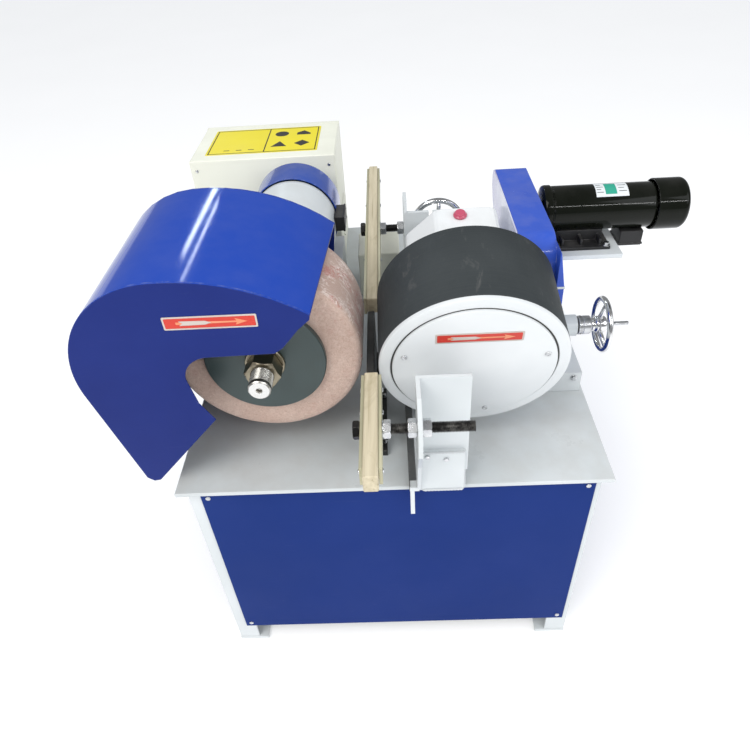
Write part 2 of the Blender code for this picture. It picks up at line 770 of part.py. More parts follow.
def cross_slide():
    groove = (FEED_Y - 18, FEED_Y + 18)
    base = box("slide_base", (430, 216, GAP), (712, 430, SLIDE_TOP), "white_paint")
    channel = box("slide_channel", (448, groove[0], 12), (694, groove[1], 80))
    boss = bar("feed_boss", (711, FEED_Y, FEED_Z), (740, FEED_Y, FEED_Z), 22, sides=MEDIUM)
    bore = bar("feed_bore", (440, FEED_Y, FEED_Z), (800, FEED_Y, FEED_Z), 8.5)
    cut(base, channel)
    join(base, boss)
    cut(base, bore)

    carriage = box(
        "carriage", (440, 218, SLIDE_TOP + GAP), (668, 486, CARRIAGE_TOP), "white_paint"
    )
    nut = box("feed_nut", (560, FEED_Y - 16, 14), (610, FEED_Y + 16, 50))
    ears = [
        outline(f"tilt_ear_{index}", ear_outline(), "YZ", x, x + 12)
        for index, x in enumerate((448, 650))
    ]
    join(carriage, nut, *ears)
    pin_hole = bar("tilt_pin_hole", (430, *PIVOT[1:]), (680, *PIVOT[1:]), 8.3)
    nut_bore = bar("feed_nut_bore", (540, FEED_Y, FEED_Z), (640, FEED_Y, FEED_Z), 8.3)
    cut(carriage, pin_hole, nut_bore)
    pin = bar("tilt_pin", (444, *PIVOT[1:]), (666, *PIVOT[1:]), 8.0, "steel")

    screw = bar("feed_screw", (456, FEED_Y, FEED_Z), (808, FEED_Y, FEED_Z), 8.0, "steel")
    join(screw, bar("screw_end", (800, FEED_Y, FEED_Z), (846, FEED_Y, FEED_Z), 4.0, sides=12))
    wheel = handwheel("feed_handwheel", (FEED_WHEEL_X, FEED_Y, FEED_Z), (1, 0, 0))
    join(wheel, feed_dial())
    on_axis("feed_axis", (FEED_WHEEL_X, FEED_Y, FEED_Z), [screw, wheel])

    support = box("support_plate", (458, SUPPORT_Y, 46), (566, SUPPORT_Y + 8, 240))
    tongue = box("support_tongue", (458, 470, 46), (566, SUPPORT_Y + 4, CARRIAGE_TOP - 2))
    collar = bar(
        "support_collar",
        (TILT_SCREW_X, SUPPORT_Y - 6, TILT_SCREW_Z),
        (TILT_SCREW_X, SUPPORT_Y + 30, TILT_SCREW_Z),
        18,
        sides=24,
    )
    screw_hole = bar(
        "support_hole",
        (TILT_SCREW_X, SUPPORT_Y - 30, TILT_SCREW_Z),
        (TILT_SCREW_X, SUPPORT_Y + 60, TILT_SCREW_Z),
        8.5,
    )
    join(carriage, tongue, support, collar)
    cut(carriage, screw_hole)
    on_axis("carriage_axis", (565, 324, CARRIAGE_TOP), [carriage, pin])

    tilt_screw = bar(
        "tilt_screw",
        (TILT_SCREW_X, 392, TILT_SCREW_Z),
        (TILT_SCREW_X, TILT_WHEEL_Y + 18, TILT_SCREW_Z),
        8.0,
        "steel",
    )
    tilt_wheel = handwheel(
        "tilt_handwheel", (TILT_SCREW_X, TILT_WHEEL_Y, TILT_SCREW_Z), (0, 1, 0)
    )
    on_axis(
        "tilt_screw_axis", (TILT_SCREW_X, TILT_WHEEL_Y, TILT_SCREW_Z), [tilt_screw, tilt_wheel]
    )


def ear_outline():
    y, z = PIVOT[1:]
    return [(y - 34, CARRIAGE_TOP - 4), (y + 34, CARRIAGE_TOP - 4), *arc((y, z), 18, 0, 180, 8)]


# Regulating head


def head_bracket():
    """The tilting weldment: gearbox plate, pivot barrel, screw lug, and the motor's arm and shelf."""
    plate = box("head_bracket", (-72, 160, -110), (64, 345, -98), "white_paint", HEAD)
    pivot_y, pivot_z = PIVOT[1:]
    barrel = bar("pivot_barrel", (461, pivot_y, pivot_z), (649, pivot_y, pivot_z), 16, sides=24)
    web = box("pivot_web", (470, pivot_y - 8, pivot_z), (556, pivot_y + 8, 134))
    lug = box("screw_lug", (TILT_SCREW_X - 16, 404, 140), (TILT_SCREW_X + 16, 420, 184))
    arm = box("motor_arm", (40, 320, -109), (158, 344, -99), axes=HEAD)
    leg = box("motor_leg", (645, 408, 150), (653, 430, 204))
    shelf = box("motor_shelf", (644, 354, 198), (794, 470, 206))
    join(plate, barrel, web, lug, arm, leg, shelf)
    pin_hole = bar("barrel_hole", (430, pivot_y, pivot_z), (690, pivot_y, pivot_z), 8.3)
    slot = Vector((9, 35, 15.5))
    middle = Vector((TILT_SCREW_X, 415, TILT_SCREW_Z))
    cut(plate, pin_hole, box("lug_slot", middle - slot, middle + slot))
    return plate


def gearbox():
    """A worm gearbox: the drum's shaft goes through it, and the worm crosses below."""
    profile = [
        (-58, -97.7),
        (58, -97.7),
        (64, -40),
        (66, 30),
        *arc((50, 50), 16, 0, 90, 3),
        *arc((-30, 44), 22, 90, 130, 2),
        *arc((-72, 4), 20, 130, 200, 3),
        (-64, -40),
    ]
    housing = outline("gearbox_housing", profile, "XZ", 172, 288, "white_paint", HEAD)
    seat = bar("output_seat", (0, 160, 0), (0, 190, 0), 46, axes=HEAD, sides=MEDIUM)
    worm_boss = bar(
        "worm_boss", (40, WORM_U, WORM_W), (80, WORM_U, WORM_W), 30, axes=HEAD, sides=MEDIUM
    )
    join(housing, seat, worm_boss)
    shaft_bore = bar("output_bore", (0, 100, 0), (0, 320, 0), 17.8, axes=HEAD, sides=MEDIUM)
    worm_bore = bar("worm_bore", (-40, WORM_U, WORM_W), (140, WORM_U, WORM_W), 11.3, axes=HEAD)
    cut(housing, shaft_bore, worm_bore)
    plug = bar("oil_plug", (0, 268, 66.3), (0, 268, 74), 11, "red_plastic", HEAD, sides=12)
    return [housing, plug]


def drum():
    """The regulating drum: a cast core on the gearbox's shaft, a rubber tread and a front cover."""
    shaft, hub, core = 17.5, 34.0, DRUM_RADIUS - 13.0
    rim = core - 8.0
    length = DRUM_WIDTH
    profile = [
        (0, 294),
        (shaft, 294),
        (shaft, length + 6),
        (hub, length + 6),
        (hub, 78),
        (rim, 78),
        (rim, length),
        (core, length),
        (core, 8),
        (0, 8),
    ]
    reverse = [(radius, height) for radius, height in profile]
    body = turned("drum_core", reverse, (0, 0, 0), (0, 1, 0), "steel", HEAD)
    tread_inner = core + GAP
    tread = turned(
        "drum_tread",
        [
            (tread_inner, length),
            (DRUM_RADIUS - 1.5, length),
            (DRUM_RADIUS, length - 1.5),
            (DRUM_RADIUS, 6.3),
            (tread_inner, 6.3),
        ],
        (0, 0, 0),
        (0, 1, 0),
        "rubber",
        HEAD,
        steps=56,
        closed=True,
    )
    face = DRUM_RADIUS - 0.5
    disc = 125.0
    cover_profile = [
        (0, 9.0 + 0.0),
        (disc - 1.5, 9.0),
        (disc, 7.5),
        (disc, 5.0),
        (face - 2.0, 5.0),
        (face, 3.0),
        (face, -2.0),
        (0, -2.0),
    ]
    cover = turned("drum_cover", cover_profile, (0, 4, 0), (0, -1, 0), "white_paint", HEAD)
    on_axis("drum_axis", (0, 0, 0), [body, tread, cover], HEAD)


def belt_outline(inset=0.0):
    """The belt guard's side view in Y and Z, round the worm's pulley and the motor's."""
    worm_y, worm_z = head_point(WORM_U, WORM_W)
    front = worm_y - 60 + inset
    top = 302 - inset
    return [
        *arc((worm_y, worm_z), 60 - inset, 180, 300, 6),
        *arc((DRIVE_Y + 60, DRIVE_Z + 12), 48 - inset, 300, 330, 2),
        (545 - inset, 268),
        *arc((530 - inset, 287 - inset), 15, 0, 90, 3),
        *arc((front + 44, top - 44), 44, 90, 180, 5),
    ]


def belt_drive():
    worm_y, worm_z = head_point(WORM_U, WORM_W)
    sheet = 2.0
    guard = outline(
        "belt_guard", belt_outline(), "YZ", BELT_LEFT, BELT_RIGHT, "bright_blue_paint"
    )
    hollow = outline(
        "belt_hollow", belt_outline(sheet), "YZ", BELT_LEFT - 20, BELT_RIGHT - sheet
    )
    drive_hole = bar(
        "drive_hole", (BELT_RIGHT - 20, DRIVE_Y, DRIVE_Z), (BELT_RIGHT + 20, DRIVE_Y, DRIVE_Z), 20
    )
    cut(guard, hollow, drive_hole)
    flare = [(BELT_RIGHT - 1, 296), (BELT_RIGHT + 1, 291), (BELT_RIGHT + 12, 232)]
    flare += [(BELT_RIGHT + 13, 190), (BELT_RIGHT + 8, 172), (BELT_RIGHT - 1, 165)]
    join(guard, outline("belt_flare", flare, "XZ", 215, 285))
    back = outline(
        "belt_backplate", belt_outline(), "YZ", BELT_LEFT - 2 - GAP, BELT_LEFT - GAP, "white_paint"
    )
    worm_hole = bar(
        "worm_hole", (BELT_LEFT - 30, worm_y, worm_z), (BELT_LEFT + 30, worm_y, worm_z), 32,
        sides=MEDIUM,
    )
    cut(back, worm_hole)

    worm = bar(
        "worm_shaft", (DRUM_X - 30, worm_y, worm_z), (BELT_X + 14, worm_y, worm_z), 11, "steel"
    )
    join(worm, pulley("worm_pulley", worm_y, worm_z, 44))
    on_axis("worm_axis", (BELT_X, worm_y, worm_z), [worm])

    drive = bar(
        "drive_shaft", (BELT_X - 14, DRIVE_Y, DRIVE_Z), (DRIVE_END - 30, DRIVE_Y, DRIVE_Z), 8,
        "steel",
    )
    join(drive, pulley("drive_pulley", DRIVE_Y, DRIVE_Z, 24))
    on_axis("drive_axis", (BELT_X, DRIVE_Y, DRIVE_Z), [drive])

    belt = belt_loop("drive_belt", (worm_y, worm_z), 44.3, (DRIVE_Y, DRIVE_Z), 24.3)
    return [guard, back, belt]


def pulley(name, y, z, radius):
    return bar(name, (BELT_X - 9, y, z), (BELT_X + 9, y, z), radius, sides=MEDIUM)


def loop_points(first, first_radius, second, second_radius):
    """The outline of a belt round two pulleys, in Y and Z."""
    span = Vector(second) - Vector(first)
    lean = math.degrees(math.atan2(span.y, span.x))
    open_angle = math.degrees(math.acos((first_radius - second_radius) / span.length))
    big = arc(first, first_radius, lean + open_angle, lean + 360 - open_angle, 20)
    small = arc(second, second_radius, lean - open_angle, lean + open_angle, 12)
    return big + small


def belt_loop(name, first, first_radius, second, second_radius):
    outer = loop_points(first, first_radius + 6, second, second_radius + 6)
    inner = loop_points(first, first_radius, second, second_radius)
    belt = outline(name, outer, "YZ", BELT_X - 7, BELT_X + 7, "belt_rubber")
    cut(belt, outline(name + "_inside", inner, "YZ", BELT_X - 20, BELT_X + 20))
    return belt


def drive_motor():
    """The regulating drive's motor, its axis along X, on the shelf."""
    start = BELT_RIGHT + 10
    cover_start = DRIVE_END - 58
    length = cover_start - start
    bore = 8.5
    profile = [
        (bore, length),
        (DRIVE_RADIUS - 6, length),
        (DRIVE_RADIUS - 2, length - 4),
        (DRIVE_RADIUS - 2, 18),
        (DRIVE_RADIUS, 16),
        (DRIVE_RADIUS, 6),
        (24, 0),
        (bore, 0),
    ]
    body = turned(
        "drive_motor_body", profile, (start, DRIVE_Y, DRIVE_Z), (1, 0, 0), "black_paint",
        steps=48, closed=True,
    )
    foot = box("drive_foot", (672, 372, 206.3), (776, 472, 213))
    leg = box("drive_leg", (682, 402, 210), (766, 458, 232))
    joint_box = box("drive_terminals", (800, 400, 196), (842, 452, 226))
    join(body, foot, leg, joint_box)
    radius = DRIVE_RADIUS + 3.0
    depth = DRIVE_END - cover_start - GAP
    cover_profile = [
        (22.0, depth),
        (radius - 10, depth),
        (radius - 3, depth - 3),
        (radius, depth - 10),
        (radius, 0),
        (radius - 2, 0),
        (radius - 2, depth - 12),
        (radius - 12, depth - 2),
        (22.0, depth - 2),
    ]
    cover = turned(
        "drive_motor_fan_cover",
        cover_profile,
        (cover_start + GAP, DRIVE_Y, DRIVE_Z),
        (1, 0, 0),
        "black_paint",
        steps=48,
        closed=True,
    )
    return [body, cover]


def regulating_head():
    drum()
    pieces = [head_bracket(), *gearbox(), *belt_drive(), *drive_motor()]
    on_axis("tilt_axis", PIVOT, pieces)


clear_scene()
PARTS = new_collection(COLLECTION)
CUTTERS = new_collection("Cutters")
CUTTERS.hide_render = True
cabinet()
main_motor()
motor_pedestal()
spindle()
wheel_guard()
control_box()
rails()
rail_block()
work_rest()
cross_slide()
regulating_head()
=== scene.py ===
"""The looks of a centreless polishing machine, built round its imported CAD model.

Lengths are millimetres on the machine's own axes: X right from the table's left edge, Y back from
its front edge and Z up from its top. Meshes are made in metres, in the frame's axes.
"""

import math
import random

import bmesh
import bpy
from mathutils import Matrix, Vector, noise


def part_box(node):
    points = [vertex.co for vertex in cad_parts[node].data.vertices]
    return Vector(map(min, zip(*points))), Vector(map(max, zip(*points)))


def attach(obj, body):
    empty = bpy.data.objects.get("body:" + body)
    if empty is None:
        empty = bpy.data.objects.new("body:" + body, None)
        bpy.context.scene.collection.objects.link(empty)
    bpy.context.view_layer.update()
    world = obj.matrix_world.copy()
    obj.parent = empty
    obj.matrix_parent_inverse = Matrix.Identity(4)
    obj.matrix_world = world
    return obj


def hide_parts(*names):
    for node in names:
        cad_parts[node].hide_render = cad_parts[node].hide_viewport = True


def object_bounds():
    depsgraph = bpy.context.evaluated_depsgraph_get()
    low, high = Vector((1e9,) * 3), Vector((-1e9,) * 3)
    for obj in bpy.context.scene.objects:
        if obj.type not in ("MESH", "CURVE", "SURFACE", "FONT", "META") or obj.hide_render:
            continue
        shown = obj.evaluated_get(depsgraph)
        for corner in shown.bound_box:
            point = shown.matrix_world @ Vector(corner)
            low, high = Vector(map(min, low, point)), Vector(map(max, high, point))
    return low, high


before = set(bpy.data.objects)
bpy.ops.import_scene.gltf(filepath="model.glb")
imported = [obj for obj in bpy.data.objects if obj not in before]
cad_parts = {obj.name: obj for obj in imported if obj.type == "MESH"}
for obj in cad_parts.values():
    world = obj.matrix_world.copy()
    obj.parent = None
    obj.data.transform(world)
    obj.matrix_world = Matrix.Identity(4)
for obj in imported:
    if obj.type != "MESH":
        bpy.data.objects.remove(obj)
CAD_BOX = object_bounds()

MM = 0.001
TABLE_LOW, TABLE_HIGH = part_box("table_top")
CORNER = Vector((TABLE_LOW.x, TABLE_LOW.y, TABLE_HIGH.z))
MACHINE = Matrix.Translation(CORNER)
TILT = math.radians(12.6)
DRUM_CENTRE = (492.0, 72.0, 191.0)
WHEEL_X, WHEEL_Z = 174.0, 202.0
ROD_Z = 186.0
NUT_ACROSS, NUT_DEPTH = 23.5, 13.0
FRONT_ROD_Y, REAR_ROD_Y = -52.0, 537.0
BRACKET_X, BRACKET_END = 400.5, 407.0
DRIVE_Y, DRIVE_Z = 430.0, 264.0
WORM_U, WORM_W = 215.0, -63.0
GAP = 0.3
ON_HEAD = "regulating_head"


def aimed(along):
    """A turn that puts local Z along a direction."""
    return Vector(along).to_track_quat("Z", "Y").to_matrix().to_4x4()


def at(x, y, z, along=None):
    """A place on the machine's axes, with local Z turned along a direction where one is given."""
    place = MACHINE @ Matrix.Translation(Vector((x, y, z)) * MM)
    return place @ aimed(along) if along else place


def facing(place, along):
    """The same on a piece's own axes, in millimetres."""
    return Matrix.Translation(Vector(place)) @ aimed(along)


def polar(degrees, radius=1.0):
    return radius * math.cos(math.radians(degrees)), radius * math.sin(math.radians(degrees))


HEAD = at(*DRUM_CENTRE) @ Matrix.Rotation(TILT, 4, "X")


def head_point(u, w):
    """(Y, Z) on the machine's axes of a place on the tilted head's Y and Z."""
    y = DRUM_CENTRE[1] + u * math.cos(TILT) - w * math.sin(TILT)
    z = DRUM_CENTRE[2] + u * math.sin(TILT) + w * math.cos(TILT)
    return y, z


# Finishes


class Tree:
    """The nodes of a new material or world, with short ways to add the usual ones."""

    def __init__(self, name, owners=bpy.data.materials):
        self.owner = owners.new(name)
        self.owner.use_nodes = True
        self.nodes = self.owner.node_tree.nodes

    def put(self, target, value):
        if isinstance(value, bpy.types.NodeSocket):
            self.owner.node_tree.links.new(value, target)
        else:
            target.default_value = value

    def add(self, kind, inputs=None, **settings):
        node = self.nodes.new("ShaderNode" + kind)
        for key, value in settings.items():
            setattr(node, key, value)
        for key, value in (inputs or {}).items():
            self.put(node.inputs[key], value)
        return node

    def place(self, scale=(1, 1, 1)):
        coords = self.add("TexCoord").outputs["Object"]
        return self.add("Mapping", {"Vector": coords, "Scale": scale}).outputs[0]

    def noise(self, vector, scale, detail=3.0, rough=0.55, twist=0.0):
        inputs = {"Vector": vector, "Scale": scale, "Detail": detail, "Roughness": rough}
        return self.add("TexNoise", {**inputs, "Distortion": twist}).outputs["Fac"]

    def span(self, value, low, high, first=0.0, last=1.0):
        inputs = {"Value": value, "From Min": low, "From Max": high, "To Min": first}
        return self.add("MapRange", {**inputs, "To Max": last}).outputs[0]

    def maths(self, operation, first, second=0.0):
        return self.add("Math", {0: first, 1: second}, operation=operation).outputs[0]

    def times(self, first, second):
        return self.maths("MULTIPLY", first, second)

    def mix(self, factor, first, second):
        node = self.add("Mix", data_type="RGBA")
        for index, value in ((0, factor), (6, first), (7, second)):
            if isinstance(value, tuple):
                value = (*value, 1.0)
            self.put(node.inputs[index], value)
        return node.outputs[2]

    def cylindrical(self, vector):
        """(distance from local Z, height along it)"""
        split = self.add("SeparateXYZ", {0: vector}).outputs
        across = self.add("CombineXYZ", {0: split[0], 1: split[1]}).outputs[0]
        return self.add("VectorMath", {0: across}, operation="LENGTH").outputs["Value"], split[2]

    def edge(self, radius):
        """(1 on edges and 0 elsewhere, the normal rounded over edges)"""
        bevel = self.add("Bevel", {"Radius": radius * MM}, samples=6).outputs[0]
        normal = self.add("NewGeometry").outputs["Normal"]
        dot = self.add("VectorMath", {0: bevel, 1: normal}, operation="DOT_PRODUCT")
        return self.span(dot.outputs["Value"], 0.9, 0.997, 1.0, 0.0), bevel

    def upward(self, low, high):
        normal = self.add("NewGeometry").outputs["Normal"]
        z = self.add("SeparateXYZ", {0: normal}).outputs[2]
        return self.span(z, low, high)

    def bump(self, height, distance, strength, normal=None):
        inputs = {"Height": height, "Distance": distance * MM, "Strength": strength}
        if normal is not None:
            inputs["Normal"] = normal
        return self.add("Bump", inputs).outputs[0]

    def finish(self, colour, rough, normal, **sockets):
        inputs = self.nodes["Principled BSDF"].inputs
        for key, value in (("Base Color", colour), ("Roughness", rough), ("Normal", normal)):
            self.put(inputs[key], value)
        for key, value in sockets.items():
            inputs[key.replace("_", " ")].default_value = value
        return self.owner


def coated(
    name, colour, shade, rough=0.3, spread=0.1, grain=700.0, lift=0.04, wear=(0.5, 0.5, 0.5),
    worn=0.45, dust=0.12, broad=5.0, metal=0.0, coat=0.0, level=0.4, stretch=(1, 1, 1),
    marks=0.25, faded=None,
):
    """Paint, plating or plastic: two close tones, an orange-peel skin, scuffs, chips and dust.

    The last argument is the paint's colour where it faces up: painted light, paler tops that stand
    in for stronger light from above.
    """
    tree = Tree(name)
    place = tree.place(stretch)
    tone = tree.span(tree.noise(place, broad, 4), 0.35, 0.65)
    paint = tree.mix(tone, colour, shade)
    # Paler where the surface faces up: painted light from above, not real fading.
    if faded:
        paint = tree.mix(tree.upward(0.15, 0.85), paint, faded)
    scuff = tree.noise(tree.place((stretch[0], stretch[1], stretch[2] * 6)), 28, 6, 0.7, 1.2)
    scuffed = tree.span(scuff, 0.62, 0.72, 0.0, marks)
    paint = tree.mix(scuffed, paint, tuple(min(1.0, 0.75 * c + 0.18) for c in colour))
    edge, rounded = tree.edge(1.4)
    chips = tree.span(tree.noise(place, 90, 5, 0.65), 0.46, 0.6)
    paint = tree.mix(tree.times(edge, tree.times(chips, worn)), paint, wear)
    settled = tree.span(tree.noise(place, 18, 5, 0.6), 0.4, 0.75, 0.0, dust)
    paint = tree.mix(tree.times(settled, tree.upward(0.5, 0.95)), paint, (0.42, 0.4, 0.37))
    skin = tree.noise(place, grain, 2)
    blotch = tree.noise(place, 14, 5, 0.6)
    roughness = tree.span(blotch, 0.3, 0.7, rough - spread / 2, rough + spread / 2)
    roughness = tree.maths("ADD", roughness, tree.times(scuffed, 0.3))
    normal = tree.bump(skin, lift, 0.5, rounded)
    return tree.finish(
        paint, roughness, normal, Metallic=metal, Coat_Weight=coat, Coat_Roughness=0.06,
        Specular_IOR_Level=level,
    )


def machined(name, colour, shade, rough, ring=900.0, metal=1.0, cut=0.02, stain=(0.2, 0.2, 0.18)):
    """Turned or faced metal: fine rings round local Z, and a little staining."""
    tree = Tree(name)
    place = tree.place()
    depth = tree.maths("ADD", *tree.cylindrical(place))
    line = tree.add("CombineXYZ", {0: depth}).outputs[0]
    rings = tree.noise(line, ring, 3, 0.7)
    tone = tree.mix(tree.span(rings, 0.35, 0.65), colour, shade)
    smear = tree.span(tree.noise(place, 22, 6, 0.65, 0.8), 0.5, 0.75, 0.0, 0.5)
    tone = tree.mix(smear, tone, stain)
    edge, rounded = tree.edge(0.8)
    tone = tree.mix(tree.times(edge, 0.35), tone, tuple(min(1.0, c * 1.7) for c in colour))
    roughness = tree.span(rings, 0.3, 0.7, rough - 0.06, rough + 0.08)
    roughness = tree.maths("ADD", roughness, tree.times(smear, 0.25))
    normal = tree.bump(rings, cut, 0.6, rounded)
    return tree.finish(tone, roughness, normal, Metallic=metal)


def fibrous():
    """The wheel: pressed abrasive fibre, matted in layers, with rust-red strands worked into it."""
    tree = Tree("abrasive_fibre")
    place = tree.place()
    shade = tree.span(tree.noise(place, 9, 5, 0.6), 0.35, 0.65)
    tone = tree.mix(shade, (0.56, 0.40, 0.33), (0.66, 0.51, 0.435))
    mat = tree.noise(tree.place((1, 1, 2.5)), 160, 6, 0.75, 1.5)
    tone = tree.mix(tree.span(mat, 0.36, 0.66, 0.0, 0.55), tone, (0.33, 0.20, 0.15))
    pale = tree.noise(tree.place((1.6, 1, 1)), 320, 3, 0.7, 2.0)
    tone = tree.mix(tree.span(pale, 0.58, 0.7, 0.0, 0.55), tone, (0.86, 0.70, 0.60))
    radius, _ = tree.cylindrical(place)
    tread = tree.span(radius, 0.1455, 0.1485)
    tone = tree.mix(tree.times(tread, 0.8), tone, (0.42, 0.285, 0.23))
    for scale, colour, width in ((40, (0.40, 0.07, 0.06), 0.075), (58, (0.88, 0.80, 0.75), 0.060)):
        strand = tree.noise(tree.place((1, 1, 2.2)), scale, 3, 0.5, 1.6)
        off = tree.maths("ABSOLUTE", tree.maths("SUBTRACT", strand, 0.5))
        patch = tree.span(tree.noise(place, scale / 2, 3), 0.47, 0.58, 0.0, 0.8)
        line = tree.times(tree.span(off, 0.0, width, 1.0, 0.0), patch)
        line = tree.times(line, tree.span(tread, 0.0, 1.0, 0.15, 1.0))
        tone = tree.mix(line, tone, colour)
    fuzz = tree.noise(place, 520, 4, 0.7, 0.8)
    height = tree.maths("ADD", tree.times(mat, 0.8), tree.times(fuzz, 0.6))
    rough = tree.span(mat, 0.3, 0.7, 0.82, 1.0)
    return tree.finish(
        tone, rough, tree.bump(height, 1.3, 0.9), Sheen_Weight=0.25, Sheen_Roughness=0.6,
        Specular_IOR_Level=0.15,
    )


def moulded_rubber():
    """The drum's tread: ground rubber, faint grinding lines round it, chalky where it has run."""
    tree = Tree("drum_rubber")
    place = tree.place()
    split = tree.add("SeparateXYZ", {0: place})
    line = tree.add("CombineXYZ", {0: split.outputs[2]}).outputs[0]
    lines = tree.noise(line, 420, 3, 0.7)
    shade = tree.span(tree.noise(place, 6, 5, 0.6), 0.32, 0.68)
    tone = tree.mix(shade, (0.025, 0.031, 0.034), (0.040, 0.047, 0.050))
    tone = tree.mix(tree.span(lines, 0.45, 0.7, 0.0, 0.14), tone, (0.085, 0.088, 0.085))
    chalk = tree.noise(tree.place((1, 1, 0.4)), 34, 6, 0.72, 0.6)
    tone = tree.mix(tree.span(chalk, 0.58, 0.78, 0.0, 0.32), tone, (0.22, 0.21, 0.2))
    grain = tree.noise(place, 900, 3, 0.6)
    edge, rounded = tree.edge(1.5)
    tone = tree.mix(tree.times(edge, 0.3), tone, (0.16, 0.16, 0.16))
    height = tree.maths("ADD", tree.times(lines, 0.5), grain)
    rough = tree.span(chalk, 0.3, 0.7, 0.52, 0.72)
    return tree.finish(
        tone, rough, tree.bump(height, 0.12, 0.5, rounded), Specular_IOR_Level=0.25
    )


def timber(name, pale, dark, line, scale):
    """Laminated strip: grain and glue lines run along Y."""
    tree = Tree(name)
    grain = tree.noise(tree.place((1, 0.05, 1)), scale, 6, 0.65, 0.5)
    tone = tree.mix(tree.span(grain, 0.35, 0.65), pale, dark)
    seam = tree.noise(tree.place((1, 0.012, 1)), 210, 2, 0.5)
    tone = tree.mix(tree.span(seam, 0.62, 0.68, 0.0, 0.55), tone, line)
    stain = tree.noise(tree.place((1, 0.4, 1)), 30, 5, 0.65, 0.6)
    tone = tree.mix(tree.span(stain, 0.56, 0.74, 0.0, 0.5), tone, line)
    edge, rounded = tree.edge(1.2)
    tone = tree.mix(tree.times(edge, 0.35), tone, tuple(0.55 * c for c in dark))
    rough = tree.span(stain, 0.3, 0.7, 0.5, 0.7)
    return tree.finish(tone, rough, tree.bump(grain, 0.25, 0.5, rounded), Specular_IOR_Level=0.3)


STEEL_WEAR = (0.42, 0.42, 0.40)
PALE_WEAR = (0.50, 0.50, 0.48)
F = {}


def coat(key, *colours_and_gloss, name=None, **settings):
    F[key] = coated(name or key, *colours_and_gloss, **settings)


# The guard's paler colour where it faces up is painted light from above.
coat("hood_blue", (0.009, 0.022, 0.158), (0.007, 0.018, 0.138), 0.09, 0.04, coat=0.05,
     wear=(0.35, 0.38, 0.45), marks=0.04, dust=0.03, lift=0.015, level=0.1,
     faded=(0.016, 0.058, 0.37))
coat("panel_blue", (0.01, 0.031, 0.172), (0.008, 0.028, 0.16), 0.5, 0.08, wear=(0.4, 0.42, 0.48),
     marks=0.06, level=0.06)
coat("belt_blue", (0.034, 0.092, 0.5), (0.029, 0.08, 0.45), 0.24, 0.08, coat=0.15,
     wear=(0.5, 0.52, 0.6), marks=0.08, level=0.25)
coat("cover_blue", (0.024, 0.074, 0.38), (0.019, 0.06, 0.31), 0.16, 0.08, coat=0.3,
     wear=(0.5, 0.52, 0.6), level=0.3)
coat("white", (0.63, 0.66, 0.675), (0.575, 0.61, 0.62), 0.32, 0.12, name="white_enamel",
     wear=PALE_WEAR, worn=0.35, dust=0.18, marks=0.15)
coat("cast_white", (0.74, 0.76, 0.77), (0.66, 0.68, 0.69), 0.38, 0.12, name="cast_white_enamel",
     grain=260, lift=0.25, wear=PALE_WEAR, dust=0.2, marks=0.2)
coat("table", (0.6, 0.63, 0.64), (0.52, 0.555, 0.565), 0.34, 0.16, name="table_grey",
     wear=STEEL_WEAR, worn=0.5, dust=0.3, broad=3.5, marks=0.25)
coat("cream", (0.82, 0.825, 0.715), (0.77, 0.775, 0.67), 0.45, 0.08, name="cream_powder_coat",
     grain=520, lift=0.1, wear=PALE_WEAR, marks=0.12)
coat("cover_white", (0.68, 0.7, 0.71), (0.61, 0.635, 0.65), 0.36, 0.12, wear=PALE_WEAR, worn=0.5,
     dust=0.1, marks=0.25)
coat("motor_black", (0.004, 0.005, 0.003), (0.006, 0.007, 0.005), 0.1, 0.05, coat=0.06,
     wear=(0.1, 0.1, 0.1), dust=0.02, marks=0.02, level=0.14, lift=0.008)
coat("cast_black", (0.01, 0.01, 0.011), (0.018, 0.018, 0.019), 0.42, 0.14, grain=240, lift=0.3,
     wear=(0.14, 0.14, 0.14), dust=0.2, marks=0.1)
coat("oxide", (0.012, 0.012, 0.013), (0.022, 0.02, 0.018), 0.38, 0.14, name="black_oxide",
     metal=0.7, grain=800, wear=(0.3, 0.29, 0.27), worn=0.6, dust=0.15)
coat("zinc", (0.7, 0.71, 0.72), (0.52, 0.53, 0.55), 0.26, 0.14, name="zinc_plate", metal=1.0,
     broad=60, wear=(0.85, 0.85, 0.85), dust=0.08, marks=0.2)
F["steel"] = machined("turned_steel", (0.5, 0.49, 0.46), (0.4, 0.39, 0.36), 0.28)
F["bright_steel"] = machined("faced_steel", (0.74, 0.74, 0.73), (0.62, 0.62, 0.6), 0.24,
    stain=(0.45, 0.44, 0.41))
F["brassy_steel"] = machined("oiled_steel", (0.33, 0.29, 0.21), (0.23, 0.205, 0.155), 0.34,
    stain=(0.13, 0.11, 0.08))
F["flange"] = machined("flange_plate", (0.044, 0.066, 0.066), (0.036, 0.054, 0.053), 0.34, 700,
    0.2, 0.012, (0.045, 0.058, 0.055))
F["chrome"] = machined("chrome", (0.8, 0.8, 0.8), (0.76, 0.76, 0.77), 0.09, 400, 1.0, 0.003,
    (0.55, 0.54, 0.52))
coat("side_plate", (0.58, 0.56, 0.4), (0.4, 0.38, 0.25), 0.42, 0.16, name="oiled_side_plate",
     metal=0.1, grain=300, wear=(0.45, 0.38, 0.22), dust=0.15, stretch=(1, 0.15, 1), broad=24)
coat("dark_steel", (0.05, 0.052, 0.052), (0.08, 0.08, 0.078), 0.4, 0.15, metal=0.8, grain=500,
     wear=(0.4, 0.4, 0.38), worn=0.6)
F["strip"] = timber("rail_laminate", (0.62, 0.55, 0.4), (0.5, 0.435, 0.3), (0.27, 0.22, 0.12), 130)
coat("red", (0.52, 0.085, 0.15), (0.44, 0.06, 0.11), 0.28, 0.08, name="red_plastic", grain=400,
     wear=(0.7, 0.3, 0.3), worn=0.2, coat=0.3)
coat("green", (0.01, 0.25, 0.06), (0.01, 0.19, 0.05), 0.3, 0.08, name="green_plastic", grain=400,
     wear=(0.3, 0.6, 0.35), worn=0.2, coat=0.3)
